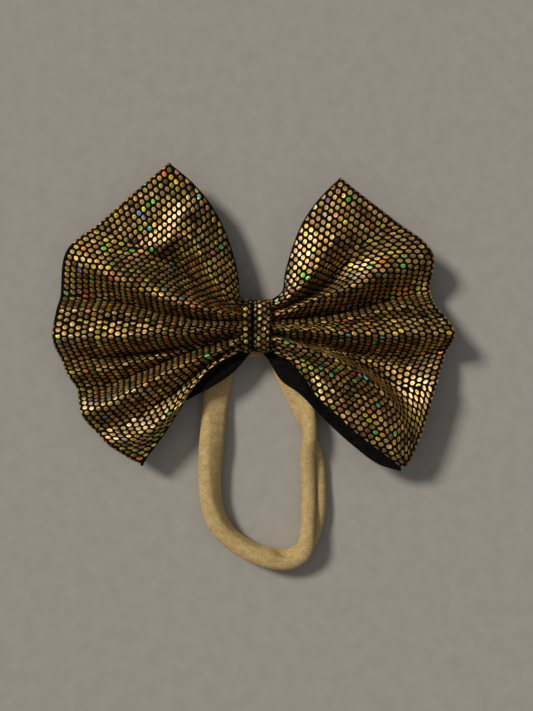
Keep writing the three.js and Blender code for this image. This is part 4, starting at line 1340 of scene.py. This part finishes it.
def build_core():
    """The pinched middle of both fabric layers, in packed pleats that the thread draws in."""
    middle_y = (WRAP_TOP + WRAP_BOTTOM) / 2
    middle_z = (CORE_LOW + CORE_HIGH) / 2
    half_deep = (CORE_HIGH - CORE_LOW) / 2
    angle = circle(240)
    y = CORE_HALF * squared(np.cos(angle), 0.8)
    z = half_deep * squared(np.sin(angle), 0.55)
    rings = []
    for x in np.linspace(-4.1, 4.1, 25):
        waist = 1 - PINCH * float(bump(x, 0, 2.1))
        pleats = 1 - 0.13 * (0.5 + 0.5 * np.cos(y * 2 * math.pi / 1.9 + 0.12 * x)) * np.abs(np.sin(angle))
        rings.append(np.column_stack([np.full(240, x), middle_y + y * waist, middle_z + z * waist * pleats]))
    core = tube("gathered_middle", np.array(rings), [FELT])
    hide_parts("gathered_core")
    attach(core, "knot")
    step = np.arange(THREAD_TURNS * TURN_STEPS + 1)
    turn = 2 * math.pi * step / TURN_STEPS
    y = (CORE_HALF * (1 - PINCH) + 0.3) * squared(np.cos(turn), 0.8)
    z = (half_deep * (1 - PINCH) + 0.3) * squared(np.sin(turn), 0.55)
    x = (step / TURN_STEPS - THREAD_TURNS / 2) * WOUND_SPACING
    path = np.column_stack([x, middle_y + y, middle_z + z])
    padded = np.pad(path, ((2, 2), (0, 0)), mode="edge")
    path = np.stack([np.convolve(padded[:, a], np.ones(5) / 5, "valid") for a in range(3)], axis=1)
    wound = round_tube("wound_thread", path, WOUND_RADIUS, 10, [1.0, 0, 0], [THREAD])
    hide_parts("gather_thread")
    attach(wound, "knot")


def build_bridge():
    """The band behind the knot, pressed flat and spread by the glue."""
    left_end, right_end = -5.5, 3.2
    rings = []
    angle = circle(72)
    for x in np.linspace(left_end, right_end, 40):
        spread = float(smooth(x, left_end, left_end + 2.2) * (1 - smooth(x, right_end - 2.2, right_end)))
        half = 4.55 + 1.45 * spread
        middle = -4.75 + 0.65 * spread
        y = middle + half * squared(np.cos(angle), 0.55)
        lift = BAND_FLAT / 2 * squared(np.sin(angle), 0.5)
        full = 1 + 0.04 * np.cos((y - middle) / half * 2 * math.pi) * (lift > 0)
        z = 0.05 + BAND_FLAT / 2 + lift * full - 0.05 * spread
        rings.append(np.column_stack([np.full(72, x), y, np.maximum(z, 0.0)]))
    bridge = tube("headband_bridge_fabric", np.array(rings), [NYLON])
    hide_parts("headband_bridge")
    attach(bridge, "knot")


wrap, wrap_outer, wrap_length = build_wrap()
strip_pieces = [wrap_dots(wrap_outer, wrap_length), *build_tail()]
# The strip was cut long enough for its loop round the knot and the tail.
build_glue()
build_core()
build_bridge()

# ---- light and floor ---------------------------------------------------------------------------
sun = bpy.data.lights.new("key", "SUN")
sun.energy = 2.0
sun.angle = math.radians(13)
sun.color = (1.0, 0.93, 0.82)
key = bpy.data.objects.new("key", sun)
key.rotation_mode = "QUATERNION"
key.rotation_quaternion = Vector(-LIGHT_FROM).to_track_quat("-Z", "Y")
bpy.context.scene.collection.objects.link(key)


def studio_world():
    """A soft overhead glow that fades towards the horizon."""
    world = bpy.data.worlds.new("studio")
    world.use_nodes = True
    tree = world.node_tree
    ground = tree.nodes["Background"]
    ground.inputs["Color"].default_value = (1.0, 0.97, 0.93, 1)
    place = tree.nodes.new("ShaderNodeTexCoord")
    split = tree.nodes.new("ShaderNodeSeparateXYZ")
    glow = tree.nodes.new("ShaderNodeMapRange")
    glow.interpolation_type = "SMOOTHSTEP"
    for socket, value in (("From Min", 0.35), ("From Max", 1.0), ("To Min", 0.04), ("To Max", 0.34)):
        glow.inputs[socket].default_value = value
    tree.links.new(place.outputs["Generated"], split.inputs["Vector"])
    tree.links.new(split.outputs["Z"], glow.inputs["Value"])
    tree.links.new(glow.outputs["Result"], ground.inputs["Strength"])
    bpy.context.scene.world = world


studio_world()
bpy.context.scene.view_settings.view_transform = "Standard"

FLOOR_HALF = 1500
corners = [(x * FLOOR_HALF, y * FLOOR_HALF, 0) for x, y in ((-1, -1), (1, -1), (1, 1), (-1, 1))]
floor = link_mesh("floor", corners, [[0, 1, 2, 3]], [pale_floor()], False)
floor.location.z = -0.0002
